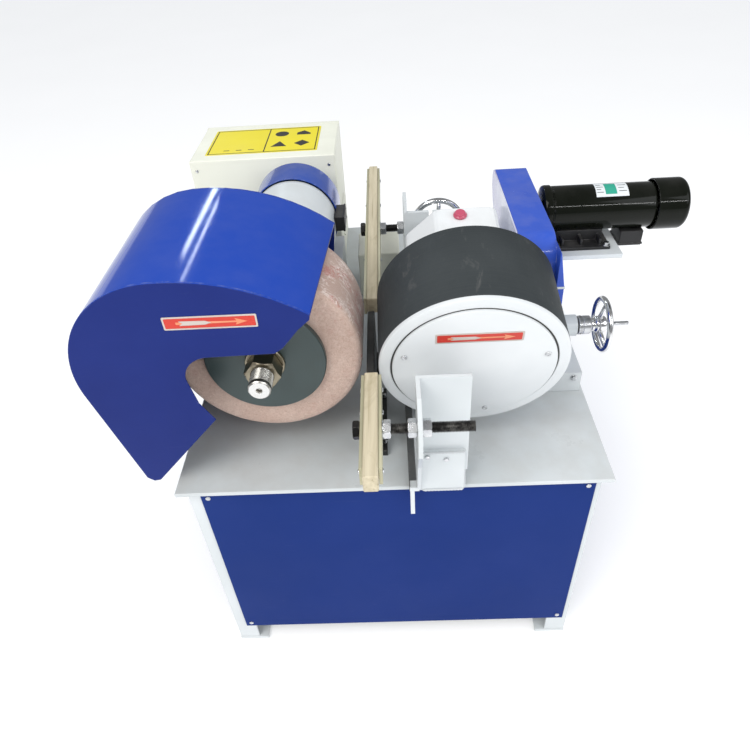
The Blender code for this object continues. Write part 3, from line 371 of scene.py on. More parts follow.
coat("black_plastic", (0.012, 0.012, 0.012), (0.02, 0.02, 0.02), 0.45, 0.1, grain=450, lift=0.08,
     wear=(0.1, 0.1, 0.1), worn=0.3)
coat("belt", (0.015, 0.015, 0.015), (0.024, 0.023, 0.022), 0.7, 0.1, name="belt_rubber", grain=500,
     lift=0.2, wear=(0.06, 0.06, 0.06), level=0.3)
F["fibre"] = fibrous()
F["tread"] = moulded_rubber()
coat("label_red", (0.56, 0.035, 0.02), (0.48, 0.028, 0.016), 0.3, 0.1, worn=0.2,
     wear=(0.7, 0.5, 0.45), marks=0.3)
coat("label_orange", (0.75, 0.22, 0.1), (0.66, 0.3, 0.17), 0.34, 0.1, worn=0.0, marks=0.4)
coat("label_silver", (0.55, 0.5, 0.46), (0.45, 0.36, 0.32), 0.3, 0.1, worn=0.1, marks=0.4)
coat("label_yellow", (0.83, 0.72, 0.012), (0.78, 0.66, 0.01), 0.35, 0.1, worn=0.1, marks=0.08,
     dust=0.05)
coat("label_white", (0.72, 0.75, 0.77), (0.66, 0.69, 0.71), 0.35, 0.1, worn=0.1, marks=0.15)
coat("label_teal", (0.012, 0.36, 0.25), (0.01, 0.31, 0.21), 0.35, 0.1, worn=0.1, marks=0.1)
coat("label_ink", (0.022, 0.022, 0.02), (0.035, 0.034, 0.03), 0.4, 0.1, worn=0.0, dust=0.0,
     marks=0.2)
# Pale paint with broad lilac patches: the patches are painted reflection of the blue guard, not the
# plate's own colour.
coat("pale_paint_and_reflection", (0.66, 0.68, 0.8), (0.4, 0.39, 0.62), 0.2, 0.08, name="backplate_paint_and_painted_reflection", coat=0.3,
     wear=PALE_WEAR, broad=9.0, marks=0.2)
# Dark grey for the strip on the bracket's tie: painted shade standing for the shadowed side of the
# bracket.
coat("tie", (0.075, 0.078, 0.08), (0.13, 0.135, 0.135), 0.45, 0.15, name="tie_painted_shade",
     metal=0.3, grain=400, wear=(0.4, 0.4, 0.4), broad=14, dust=0.3)
coat("weld", (0.6, 0.625, 0.64), (0.5, 0.52, 0.53), 0.42, 0.14, name="weld_bead", grain=180,
     lift=0.8, wear=PALE_WEAR)


# Pieces


def new_object(name, data):
    obj = bpy.data.objects.new(name, data)
    bpy.context.scene.collection.objects.link(obj)
    return obj


def circle(radius, steps, centre=0.0):
    """Points round a circle whose centre lies out along X."""
    angles = [math.tau * i / steps for i in range(steps)]
    return [(centre + radius * math.cos(a), radius * math.sin(a)) for a in angles]


def arc(centre, radius, first, last, count):
    angles = [math.radians(first + (last - first) * i / count) for i in range(count + 1)]
    return [(centre[0] + radius * math.cos(a), centre[1] + radius * math.sin(a)) for a in angles]


PLANES = {
    "XZ": lambda a, b, c: (a, c, b),
    "YZ": lambda a, b, c: (c, a, b),
    "XY": lambda a, b, c: (a, b, c),
}


class Piece:
    """One visible piece, gathered from shapes given in millimetres of its own axes."""

    def __init__(self, name, finish, body="machine", axes=MACHINE):
        self.name, self.body, self.finish, self.axes = name, body, finish, axes
        self.shape = bmesh.new()

    def points(self, places):
        return [self.shape.verts.new(Vector(place) * MM) for place in places]

    def grid(self, rows, around=False, along=False):
        """Faces over rows of points, closing each row on itself or the last row on the first."""
        rows = [self.points(row) for row in rows]
        if along:
            rows.append(rows[0])
        for first, second in zip(rows, rows[1:]):
            count = len(first)
            for i in range(count if around else count - 1):
                j = (i + 1) % count
                corners = [first[i], first[j], second[j], second[i]]
                if len(set(corners)) == 4:
                    self.shape.faces.new(corners)
        return rows

    def tube(self, rows):
        made = self.grid(rows, around=True)
        self.shape.faces.new(list(reversed(made[0])))
        self.shape.faces.new(made[-1])
        return self

    def lathe(self, profile, steps=96, closed=False, turn=None):
        """(radius, height) points turned round local Z. A radius of 0 at an end is a closed tip."""
        turn = turn or Matrix.Identity(4)
        rows = []
        for radius, height in profile:
            loop = [(x, y, height) for x, y in circle(max(radius, 0.02), steps)]
            rows.append([turn @ Vector(p) for p in loop])
        if closed:
            self.grid(rows, around=True, along=True)
        else:
            self.tube(rows)
        return self

    def block(self, low, high):
        (x0, y0, z0), (x1, y1, z1) = low, high
        square = ((x0, y0), (x1, y0), (x1, y1), (x0, y1))
        return self.tube([[(x, y, z) for x, y in square] for z in (z0, z1)])

    def rod(self, start, end, radius, tip=None, sides=24, ease=0.6):
        """A round bar between two points, with eased ends."""
        span = Vector(end) - Vector(start)
        tip, length = tip or radius, span.length
        profile = [(radius - ease, 0), (radius, ease), (tip, length - ease), (tip - ease, length)]
        return self.lathe(profile, sides, turn=facing(start, span))

    def hexagon(self, start, end, across, bore=0.0, twist=0.0):
        """A hexagon nut or bolt head, its corners chamfered by a cone at both ends."""
        span = Vector(end) - Vector(start)
        turn = facing(start, span)
        radius, height, steps = across / math.sqrt(3), span.length, 72
        lower, upper, ease = [], [], 0.12 * across / 2
        for i in range(steps):
            angle = math.tau * i / steps
            flat = across / 2 / math.cos((angle + math.pi / 6) % (math.pi / 3) - math.pi / 6)
            lower.append((min(flat, across / 2 * 0.97), angle, 0.0))
            upper.append((flat, angle, max(0.0, (flat - across / 2) * 0.55 + ease * 0.3)))

        def loop(ring, base, sign):
            return [
                turn @ Vector((r * math.cos(a + twist), r * math.sin(a + twist), base + sign * z))
                for r, a, z in ring
            ]

        ends = ((lower, 0, 1), (upper, 0, 1), (upper, height, -1), (lower, height, -1))
        rows = [loop(*end) for end in ends]
        if bore:
            inside = [(bore, a, 0.0) for _, a, _ in lower]
            rows = [loop(inside, 0, 1), *rows, loop(inside, height, 1)]
            self.grid(rows, around=True, along=True)
        else:
            self.tube(rows)
        return self

    def bolt(self, place, along, across, height, washer=True):
        """A bolt head standing on a face, with a washer under it."""
        place, along = Vector(place), Vector(along).normalized()
        base = place
        if washer:
            base = place + along * 1.2
            self.rod(place, base, across * 0.78, sides=32, ease=0.25)
        return self.hexagon(base, base + along * height, across, twist=0.3)

    def screw(self, place, along, radius, height):
        """A screw's low rounded head."""
        turn = facing(place, along) @ Matrix.Rotation(0.4, 4, "Z")
        profile = [(1.0, 0), (1.0, 0.35), (0.86, 0.75), (0.5, 1.0)]
        return self.lathe([(radius * r, height * z) for r, z in profile], 24, turn=turn)

    def thread(self, start, end, radius):
        """A screw thread wound round a rod, as one closed skin."""
        pitch, depth, sides = 2.0, 1.1, 20
        span = Vector(end) - Vector(start)
        turn = facing(start, span)
        levels = [(0.0, radius), (0.3, radius), (0.5, radius - depth), (0.8, radius - depth)]
        turns = int(span.length / pitch)
        rows = []
        for step in range(turns * len(levels) + 1):
            level, r = levels[step % len(levels)]
            loop = []
            for i in range(sides):
                share = i / sides
                height = (step // len(levels) + level + share) * pitch
                height = min(height, span.length)
                a = math.tau * share
                loop.append(turn @ Vector((r * math.cos(a), r * math.sin(a), height)))
            rows.append(loop)
        core = circle(radius - depth - 0.4, sides)
        base, tip = ([turn @ Vector((x, y, z)) for x, y in core] for z in (0.0, span.length))
        return self.tube([base, *rows, tip])

    def prism(self, outline, plane, low, high):
        spread = PLANES[plane]
        return self.tube([[spread(a, b, c) for a, b in outline] for c in (low, high)])

    def cup(self, outer, inner, plane, low, high, wall, centre, bore):
        """A sheet cover open at low: walls, a face at high with a bore in it, and its thickness."""
        spread = PLANES[plane]
        eye = []
        for point in outer:
            reach = bore / math.dist(point, centre)
            eye.append(tuple(c + (p - c) * reach for p, c in zip(point, centre)))
        rows = [(eye, high - wall), (inner, high - wall), (inner, low), (outer, low), (outer, high)]
        rows.append((eye, high))
        self.grid([[spread(a, b, c) for a, b in ring] for ring, c in rows], around=True, along=True)
        return self

    def done(self, *replaced, bevel=0.0, segments=2, smooth=35.0, jitter=None):
        shape = self.shape
        bmesh.ops.recalc_face_normals(shape, faces=shape.faces)
        if jitter:
            jitter(shape)
        mesh = bpy.data.meshes.new(self.name)
        shape.to_mesh(mesh)
        shape.free()
        mesh.materials.append(F[self.finish])
        obj = new_object(self.name, mesh)
        obj.matrix_world = self.axes
        mesh.shade_smooth()
        mesh.set_sharp_from_angle(angle=math.radians(smooth))
        if bevel:
            modifier = obj.modifiers.new("Edges", "BEVEL")
            modifier.width = bevel * MM
            modifier.segments = segments
            modifier.limit_method = "ANGLE"
            modifier.angle_limit = math.radians(40)
            modifier.use_clamp_overlap = True
        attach(obj, self.body)
        if replaced:
            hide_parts(*replaced)


def turned(name, finish, body, axes, profile, steps, *replaced, closed=True, **edges):
    """A piece that is one profile turned round its axis."""
    Piece(name, finish, body, axes).lathe(profile, steps, closed).done(*replaced, **edges)


# CAD nodes that keep their shape

CARRIED = {
    "white": (
        "base_frame motor_pedestal slide_base carriage front_bracket rear_bracket head_bracket"
    ),
    "pale_paint_and_reflection": "belt_backplate",
    "cast_white": "gearbox_housing",
    "table": "table_top",
    "panel_blue": "panel_front panel_left panel_rear panel_right",
    "hood_blue": "guard_back",
    "cream": "control_box control_box_door rear_rail_block",
    "cast_black": "main_motor_terminal_box",
    "dark_steel": "work_rest_blade blade_holder",
    "side_plate": (
        "front_rail_plate_left front_rail_plate_right rear_rail_plate_left rear_rail_plate_right"
    ),
    "strip": "front_rail_strip rear_rail_strip",
    "zinc": "tilt_pin tilt_screw feed_screw",
    "steel": "drum_core worm_shaft drive_shaft",
    "black_plastic": "speed_knob motor_fan",
    "green": "start_button",
    "red": "stop_button",
    "belt": "drive_belt",
}
for finish_name, node_names in CARRIED.items():
    for node_name in node_names.split():
        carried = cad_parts[node_name]
        for material_slot in carried.material_slots:
            material_slot.material = F[finish_name]


# Polishing wheel and spindle

AXLE = at(WHEEL_X, 98, WHEEL_Z, (0, -1, 0))


def polishing_wheel():
    """A fibre disc with frayed faces. Heights run forward from its front face."""
    piece = Piece("wheel_disc", "fibre", "spindle", AXLE)
    radius, bore, back, front, corner = 149.4, 18.3, -147.4, -0.6, 12
    side = [(bore + (radius - 14 - bore) * i / 26, front) for i in range(27)]
    shoulder = arc((radius - corner, front - corner), corner, 90, 0, 6)[1:]
    tread = [(radius, front - corner - (129 - corner) * i / 30) for i in range(1, 31)]
    rear = [(radius - 4, back + 3), (radius - 8, back), (60, back), (bore, back)]
    piece.lathe(side + shoulder + tread + rear, 200, closed=True)

    def fray(shape):
        for vert in shape.verts:
            place = vert.co / MM
            if math.hypot(place.x, place.y) >= 40:
                coarse, fine = (noise.noise(place * scale) * 0.35 for scale in (0.035, 0.35))
                vert.co += vert.normal * min(0.55, max(-1.4, coarse + fine)) * MM

    piece.shape.normal_update()
    piece.done("polishing_wheel", jitter=fray, smooth=60)


def spindle_parts():
    for name, node, low, high in (
        ("clamp_flange_front", "wheel_flange_front", 0.3, 12.0),
        ("clamp_flange_rear", "wheel_flange_rear", -160.0, -148.3),
    ):
        profile = [(17.8, high), (92.6, high), (94, high - 1.4), (94, low + 1), (93, low),
                   (17.8, low)]
        turned(name, "flange", "spindle", AXLE, profile, 128, node)
    nut = Piece("locking_nut", "brassy_steel", "spindle", AXLE)
    nut.hexagon((0, 0, 18), (0, 0, 46), 49, bore=17.8, twist=0.35)
    nut.done()
    profile = [(17.8, 17.6), (30, 17.6), (31, 16.6), (31, 12.4), (17.8, 12.4)]
    turned("locking_washer", "brassy_steel", "spindle", AXLE, profile, 64, "wheel_nut")
    profile = [(0, 71), (3.2, 72.5), (4.2, 77.2), (4.8, 78), (15.2, 78), (17.2, 76), (17.2, 70),
               (16.6, 69.4)]
    crest, trough, pitch, height = 17.4, 16.2, 2.5, 69.0
    while height > 20:
        profile += [(trough, height), (crest, height - 0.9), (crest, height - 1.3)]
        height -= pitch
    profile += [(17.5, 15), (17.5, -535), (0, -535)]
    turned("spindle_shaft", "steel", "spindle", AXLE, profile, 64, "wheel_spindle", closed=False,
           smooth=25)
    profile = [(5.0, 78.02), (5.0, 78.35), (15.0, 78.35), (15.2, 78.02)]
    turned("spindle_face", "bright_steel", "spindle", AXLE, profile, 64)


# Wheel guard


def hood_line(inset, end_x):
    """The hood's outline in X and Z, from its lower left corner over the top to end_x."""
    radius = 324.3 - inset
    last = math.degrees(math.acos(min(1.0, (end_x - 76) / radius)))
    shoulder = arc((66, 236), 154 - inset, 191.5, 93.4, 36)
    return [(-44 + inset, 20), *shoulder, *arc((76, 66), radius, 93.4, last, 22)[1:]]


def wheel_hood():
    """The guard's cheek, and the sheet that wraps over the wheel from it."""
    sheet_front, sheet_back, mouth_front, mouth_back = 23.4, 307, 263, 281
    cheek = [(262, 322), (245, 307), (220, 277), (207, 268)]
    cheek += [(110, 266), *arc((112, 226), 40, 105, 178, 8)]
    cheek += [(80, 180), (98, 146), (-23, 14), (-34, 12)]
    piece = Piece("wheel_hood", "hood_blue")
    piece.prism(hood_line(0.0, 263.6) + cheek, "XZ", 21, 23.5)
    rows = []
    for inset in (0.0, 2.5):
        skin = []
        for step in range(13):
            y = sheet_front + (sheet_back - sheet_front) * step / 12
            end_x = mouth_front + (mouth_back - mouth_front) * (y - 10) / 308
            skin.append([(x, y, z) for x, z in hood_line(inset, end_x)])
        rows.append(skin)
    piece.tube([outer + inner[::-1] for outer, inner in zip(*rows)])
    piece.done("wheel_guard", bevel=0.8)


# Drum


def drum_parts():
    back, front = HEAD @ aimed((0, 1, 0)), HEAD @ aimed((0, -1, 0))
    profile = [(131.8, 149), (142.6, 149), (144.1, 148.2), (144.5, 147), (144.5, 8.2), (144.0, 6.9),
               (142.8, 6.4), (131.8, 6.4)]
    turned("drum_tread_rubber", "tread", "drum", back, profile, 160, "drum_tread")
    profile = [(0, 5), (121.6, 5), (123.2, 4.4), (123.6, 3.4), (123.6, 0.0), (126.4, 0.0),
               (126.4, 0.9), (127.2, 1.5), (141.5, 1.5), (143.2, 0.8), (144, -1), (144, -6),
               (0, -6)]
    turned("drum_front_cover", "cover_white", "drum", front, profile, 160, "drum_cover",
           closed=False)
    profile = [(123.7, 0.2), (126.3, 0.2), (126.3, 0.05), (123.7, 0.05)]
    turned("cover_groove_shadow", "label_ink", "drum", front, profile, 160)
    bolts = Piece("drum_cover_bolts", "zinc", "drum", HEAD)
    for angle in (163, 14, -77):
        x, w = polar(angle, 110)
        bolts.lathe([(4.6, -0.5), (4.6, 1.2), (3.9, 2.0), (2.4, 2.1), (2.2, 0.8), (0, 0.8)], 28,
                    turn=facing((x, -5, w), (0, -1, 0)))
        bolts.hexagon((x, -5, w), (x, -6.3, w), 4.2)
    bolts.done()


# Rods, nuts and rails


def guide_rods():
    ends = {"front": (FRONT_ROD_Y, 480.0, "front_rail"), "rear": (REAR_ROD_Y, 448.0, "rear_rail")}
    for end, (y, tip, body) in ends.items():
        rod = Piece(f"{end}_threaded_rod", "oxide", body)
        rod.thread((356, y, ROD_Z), (tip, y, ROD_Z), 8.0)
        rod.rod((314, y, ROD_Z), (357, y, ROD_Z), 7.6)
        rod.hexagon((311.7, y, ROD_Z), (321.5, y, ROD_Z), NUT_ACROSS, twist=0.5)
        rod.done(f"{end}_rod", smooth=30)
        rail_nut = Piece(f"{end}_rail_nut", "zinc", body)
        rail_nut.hexagon((353.4, y, ROD_Z), (364.4, y, ROD_Z), NUT_ACROSS, bore=7.9, twist=0.1)
        rail_nut.rod((352.3, y, ROD_Z), (353.5, y, ROD_Z), 14.0, sides=40, ease=0.2)
        rail_nut.done()
        for part, low, high, twist in (
            ("inner", BRACKET_X - GAP - NUT_DEPTH, BRACKET_X - GAP, 0.25),
            ("outer", BRACKET_END + GAP, BRACKET_END + GAP + NUT_DEPTH, 0.0),
        ):
            nut = Piece(f"{end}_lock_nut_{part}", "zinc")
            nut.hexagon((low, y, ROD_Z), (high, y, ROD_Z), NUT_ACROSS, bore=8.3, twist=twist)
            nut.done(f"{end}_nut_{part}")
        for side, x, sign in (("left", 321.8, -1), ("right", 352.2, 1)):
            studs = Piece(f"{end}_rail_screws_{side}", "zinc", body)
            spots = (-122, -12, 36) if end == "front" else (275, 420, 660, 792)
            for spot in spots:
                studs.screw((x, spot, 180), (sign, 0, 0), 3.6, 2.2)
            studs.done()


# Handwheels


def handwheel(name, body, node, axes, dial=False):
    """A chromed rim on three tapered spokes, with a stepped hub and, if asked, a dial sleeve."""
    wheel = Piece(name, "chrome", body, axes)
    wheel.lathe(circle(6, 20, 52), 96, closed=True)
    for angle in (93, 213, 333):
        ray = Vector((*polar(angle), 0))
        wheel.rod(ray * 11 + Vector((0, 0, -8)), ray * 50, 5.6, 4.2, sides=20)
    hub = [(8.3, -24), (12.5, -24), (13.5, -23), (13.5, -17), (16, -15), (17, -12), (17, 3),
           (15.5, 5.5), (12.5, 8), (8.3, 8)]
    wheel.lathe(hub, 64, closed=True)
    wheel.done(node, smooth=50)
    cap = Piece(name + "_nut", "zinc", body, axes)
    cap.hexagon((0, 0, 8.2), (0, 0, 13), 18, bore=8.1)
    if dial:
        cap.lathe([(8.3, -51), (17.5, -51), (19, -49.5), (19, -42), (18.2, -41.4), (18.2, -40.6),
                   (19, -40), (19, -27), (17, -24.5), (13, -23.8), (8.3, -23.8)], 64, closed=True)
    cap.done()
    if dial:
        ticks = Piece(name + "_scale", "label_ink", body, axes)
        for index, (x, y) in enumerate(circle(19.02, 40)):
            ticks.rod((x, y, -47 if index % 5 else -49), (x, y, -43), 0.28, sides=4, ease=0.05)
        ticks.done()


# Motors


def main_motor():
    axes = at(WHEEL_X, 378, WHEEL_Z, (0, 1, 0))
    profile = [(18, 203), (48, 203), (55, 192), (81, 187.5), (85.6, 185.5), (87, 182), (87, 172),
               (86, 171.4), (86, 170.4), (87, 169.8), (87, 34), (86, 33.4), (86, 32.4), (87, 31.8),
               (87, 9), (85.5, 4), (81, 0.4), (60, 0), (56, 3), (30, 3), (26, -2), (18, -2)]
    turned("main_motor_shell", "white", "machine", axes, profile, 128, "main_motor_body")
    feet = Piece("main_motor_feet", "cast_white")
    feet.block((92, 420, 101), (256, 560, 112))
    for x in (119, 229):
        feet.block((x - 9, 425, 108), (x + 9, 555, 150))
    feet.done(bevel=2.0, segments=3)
    bolts = Piece("main_motor_bolts", "zinc")
    for x in (101, 247):
        for y in (438, 542):
            bolts.bolt((x, y, 112), (0, 0, 1), 13, 8)
    for angle in (45, 135, 225, 315):
        x, z = polar(angle, 72)
        bolts.bolt((WHEEL_X + x, 378.3, WHEEL_Z + z), (0, -1, 0), 10, 5, washer=False)
    bolts.done()
    cover_axes = at(WHEEL_X, 581.3, WHEEL_Z, (0, 1, 0))
    dome, inside = arc((77, 59.7), 14, 0, 90, 8), arc((77, 59.7), 12, 90, 0, 8)
    profile = [(89, -19), (91, -19), *dome, (26, 73.7), (26, 71.7), *inside]
    turned("main_motor_cowl", "cover_blue", "machine", cover_axes, profile, 128,
           "main_motor_fan_cover")
    grille("main_motor_grille", cover_axes, 27, 72.6, "cover_blue", "machine")
    box_bolts = Piece("terminal_box_screws", "zinc")
    for y in (526, 573):
        for z in (199, 219):
            box_bolts.screw((280.8, y, z), (1, 0, 0), 2.4, 1.6)
    box_bolts.done()
    lid = Piece("terminal_box_lid", "cast_black")
    lid.block((277.5, 518.5, 192.5), (281.0, 580.5, 225.5))
    lid.done(bevel=1.2)


def grille(name, axes, radius, height, finish, body):
    """A wire grille over the opening in a fan's cover."""
    wires = Piece(name, finish, body, axes)
    for r in (radius - 2, radius * 0.66, radius * 0.38):
        wires.lathe([(x, height + z) for x, z in circle(1.1, 8, r)], 48, closed=True)
    for angle in range(0, 360, 60):
        ends = [(*polar(angle, reach), height) for reach in (3, radius + 1)]
        wires.rod(*ends, 1.0, sides=8, ease=0.1)
    wires.lathe([(0, height - 0.9), (5, height - 0.9), (5, height + 0.9), (0, height + 0.9)], 24)
    wires.done()


SHELL_START, SHELL_RADIUS = 652, 41


def drive_motor():
    axes = at(SHELL_START, DRIVE_Y, DRIVE_Z, (1, 0, 0))
    profile = [(8.5, 202), (37, 202), (40, 200), (41, 197), (41, 20), (40.2, 19.4), (40.2, 17.6),
               (41.6, 17), (43, 15.6), (43, 5.5), (41.6, 2.6), (38, 1.2), (24, 0), (8.5, 0)]
    turned("drive_motor_shell", "motor_black", ON_HEAD, axes, profile, 128, "drive_motor_body")
    feet = Piece("drive_motor_feet", "cast_black", ON_HEAD)
    feet.block((672, 372, 206.3), (776, 472, 212))
    feet.block((682, 402, 210), (766, 458, 232))
    for x in (690, 724, 758):
        feet.block((x - 2.5, 380, 211), (x + 2.5, 466, 224))
    feet.done(bevel=1.2)
    terminals = Piece("drive_terminal_box", "cast_black", ON_HEAD)
    terminals.block((800, 400, 196.3), (842, 452, 226))
    terminals.block((798, 398, 199), (844, 454, 202))
    terminals.done(bevel=1.5)
    bolts = Piece("drive_motor_bolts", "zinc", ON_HEAD)
    for x in (679, 769):
        for y in (379, 466):
            bolts.bolt((x, y, 212), (0, 0, 1), 9, 5)
    bolts.done()
    cover_axes = at(854.3, DRIVE_Y, DRIVE_Z, (1, 0, 0))
    outside, inside = arc((35, 46.6), 11, 0, 90, 8), arc((34, 44.6), 10, 90, 0, 8)
    profile = [(44, 0), (45.2, 0), (46, 1), *outside, (22, 57.6), (22, 55.6), *inside]
    turned("drive_motor_cowl", "motor_black", ON_HEAD, cover_axes, profile, 128,
           "drive_motor_fan_cover")
    grille("drive_motor_grille", cover_axes, 23, 56.5, "motor_black", ON_HEAD)
    for name, finish, first, last, low, high, lift in (
        ("drive_label_plate", "label_white", 78, 131, 745, 803, 0.25),
        ("drive_label_patch", "label_teal", 84, 124, 762, 782, 0.45),
    ):
        patch = Piece(name, finish, ON_HEAD, axes)
        curved_patch(patch, first, last, low, high, lift)
        patch.done(smooth=60)
    rules = Piece("drive_label_rules", "label_ink", ON_HEAD, axes)
    for first, low, high in ((90, 747, 756), (99, 747, 759), (108, 747, 755), (117, 747, 759),
                             (93, 786, 800), (104, 786, 796), (115, 786, 800)):
        curved_patch(rules, first, first + 1.6, low, high, 0.42)
    rules.done()


def curved_patch(piece, first, last, low, high, lift):
    """A thin plate wrapped on the small motor, from low to high in X, angles from +Y to +Z."""
    inner, outer = (
        arc((0, 0), radius, first, last, 12) for radius in (SHELL_RADIUS, SHELL_RADIUS + lift)
    )
    back, base = piece.axes.inverted(), at(SHELL_START, DRIVE_Y, DRIVE_Z)
    piece.tube([
        [(back @ (base @ (Vector((x - SHELL_START, y, z)) * MM))) / MM
         for y, z in outer + inner[::-1]]
        for x in (low, high)
    ])


# Belt guard

COVER_FACE = 642


def belt_line(inset=0.0):
    """The belt guard's outline in Y and Z, drawn in by an inset."""
    worm_y, worm_z = head_point(WORM_U, WORM_W)
    front, top = worm_y - 60 + inset, 302 - inset
    return [
        *arc((worm_y, worm_z), 60 - inset, 180, 300, 24),
        *arc((DRIVE_Y + 60, DRIVE_Z + 12), 48 - inset, 300, 330, 6),
        (545 - inset, 268),
        *arc((530 - inset, 287 - inset), 15, 0, 90, 8),
        *arc((front + 44, top - 44), 44, 90, 180, 16),
    ]


def filled_in(outlines, step):
    """The outlines, with points added along the first one's long edges and matched on the rest."""
    made = [[] for _ in outlines]
    for index in range(len(outlines[0])):
        ends = [(line[index], line[(index + 1) % len(line)]) for line in outlines]
        parts = max(1, round(math.dist(*ends[0]) / step))
        for points, (start, end) in zip(made, ends):
            for part in range(parts):
                points.append(tuple(a + (b - a) * part / parts for a, b in zip(start, end)))
    return made


def belt_cover():
    cover = Piece("belt_cover", "belt_blue", ON_HEAD)
    outer, inner = filled_in((belt_line(), belt_line(2.0)), 10)
    cover.cup(outer, inner, "YZ", 582, COVER_FACE, 2.0, (DRIVE_Y, DRIVE_Z), 20)
    flare = [(641, 296), (643, 291), (654, 232), (655, 190), (650, 172), (641, 165)]
    cover.prism(flare, "XZ", 215, 285)
    cover.done("belt_guard", bevel=1.2)
    seam = Piece("belt_cover_seam", "white", ON_HEAD)
    seam.prism([(640.6, 231), (654.9, 231), (655.6, 227), (640.6, 227)], "XZ", 214.2, 285.6)
    seam.done()
    screws = Piece("belt_cover_screws", "zinc", ON_HEAD)
    for y, z in ((264, 268), (400, 290), (526, 270), (330, 138)):
        screws.screw((COVER_FACE, y, z), (1, 0, 0), 4.0, 2.4)
    screws.done()


# Head details


def head_details():
    plug = Piece("filler_plug", "red", ON_HEAD, HEAD @ Matrix.Translation((0, 0.268, 0)))
    plug.lathe([(10.6, 66.3), (11.5, 67), (11.5, 69.5), (9.5, 71.5), (9, 72.4), (8.4, 73.8),
                (0, 74)], 40)
    plug.hexagon((0, 0, 70), (0, 0, 73.4), 15)
    plug.done("oil_plug")
    bolts = Piece("gearbox_bolts", "zinc", ON_HEAD, HEAD)
    for x in (-48, 48):
        for w in (-84, -20, 30):
            bolts.bolt((x, 172, w), (0, -1, 0), 9, 4.5)
    for x in (-62, 54):
        for u in (186, 268):
            bolts.bolt((x, u, -98), (0, 0, 1), 10, 5)
    bolts.done()
    side = Piece("gearbox_side_cover", "cast_white", ON_HEAD, HEAD)
    side.lathe([(0, 7), (24, 7), (27, 5.5), (28, 3.5), (34, 3.2), (35, 2), (35, -3), (0, -3)], 64,
               turn=facing((-63, WORM_U, WORM_W + 20), (-1, 0, 0)))
    side.done(smooth=30)


# Slide, brackets and table


WELD_RADIUS = 2.2


def weld(piece, start, end, seed):
    """A bead of weld along an inside corner."""
    draw = random.Random(seed)
    start, end = Vector(start), Vector(end)
    span = end - start
    count = max(6, int(span.length / 2.6))
    turn = aimed(span)
    rows = []
    for step in range(count + 1):
        r = WELD_RADIUS * (0.82 + 0.18 * math.cos(step * math.pi)) * draw.uniform(0.92, 1.06)
        if step in (0, count):
            r *= 0.4
        centre = start + span * step / count
        rows.append([centre + turn @ Vector((x, y, 0)) for x, y in circle(r, 8)])
    piece.tube(rows)


def fixings():
    """The brackets' bolts, the weld beads and the ring on the slide's boss."""
    bolts = Piece("bracket_bolts", "zinc")
    for x, z in ((417, 79), (446, 72)):
        bolts.bolt((x, -8, z), (0, -1, 0), 7, 3.2, washer=False)
    for place in ((430, 34, 7), (460, 34, 7), (424, 470, 8.3)):
        bolts.bolt(place, (0, 0, 1), 13, 7)
    bolts.bolt((698, 216, 33), (0, -1, 0), 8, 4)
    for y in (92, 208):
        for x in (320, 350):
            bolts.bolt((x, y, 12), (0, 0, 1), 6, 4)
    bolts.done()
    beads = Piece("weld_beads", "weld")
    runs = [
        ((409, -9, 1), (474, -9, 1)), ((409, -9, 88), (474, -9, 88)), ((476, -7, 2), (476, 3, 40)),
        ((399, 20, 1), (399, 180, 1)), ((85, 403, 1), (85, 560, 1)), ((83, 420, 1), (83, 676, 1)),
        ((409, 499, 9), (409, 500, 238)), ((266, 404, 1), (266, 676, 1)),
        ((22, 311, 10), (90, 311, 10)),
    ]
    for index, (start, end) in enumerate(runs):
        weld(beads, start, end, index)
    beads.done(smooth=70)
    turned("slide_boss_ring", "dark_steel", "machine", at(740, 381, 30, (1, 0, 0)),
           [(9, 0), (19, 0), (19, 2.2), (9, 2.2)], 64)


def painted_tie_shade():
    """A dark strip over the top and left face of the bracket's tie: painted shade, where that side
    of the bracket lies in shadow.
    """
    strip = Piece("bracket_tie_painted_shade", "tie")
    strip.block((388.9, 5, 9.0), (399.5, 190.6, 10.4))
    strip.block((387.6, -8, 0.6), (388.9, 190.6, 10.4))
    strip.done(bevel=0.3)


def panel_screws():
    """A screw near each corner of each panel, on the face it holds."""
    heads = Piece("panel_screws", "zinc")
    faces = [
        ((0, -1, 0), 12.7, "x", (48, 684)), ((0, 1, 0), 902.3, "x", (36, 684)),
        ((-1, 0, 0), 12.7, "y", (48, 867)), ((1, 0, 0), 707.3, "y", (48, 867)),
    ]
    for normal, level, axis, ends in faces:
        for across in ends:
            for z in (-437, -28):
                place = (across, level, z) if axis == "x" else (level, across, z)
                heads.screw(place, normal, 4.5, 2.2)
    heads.done()


DOOR_FACE = 922.2


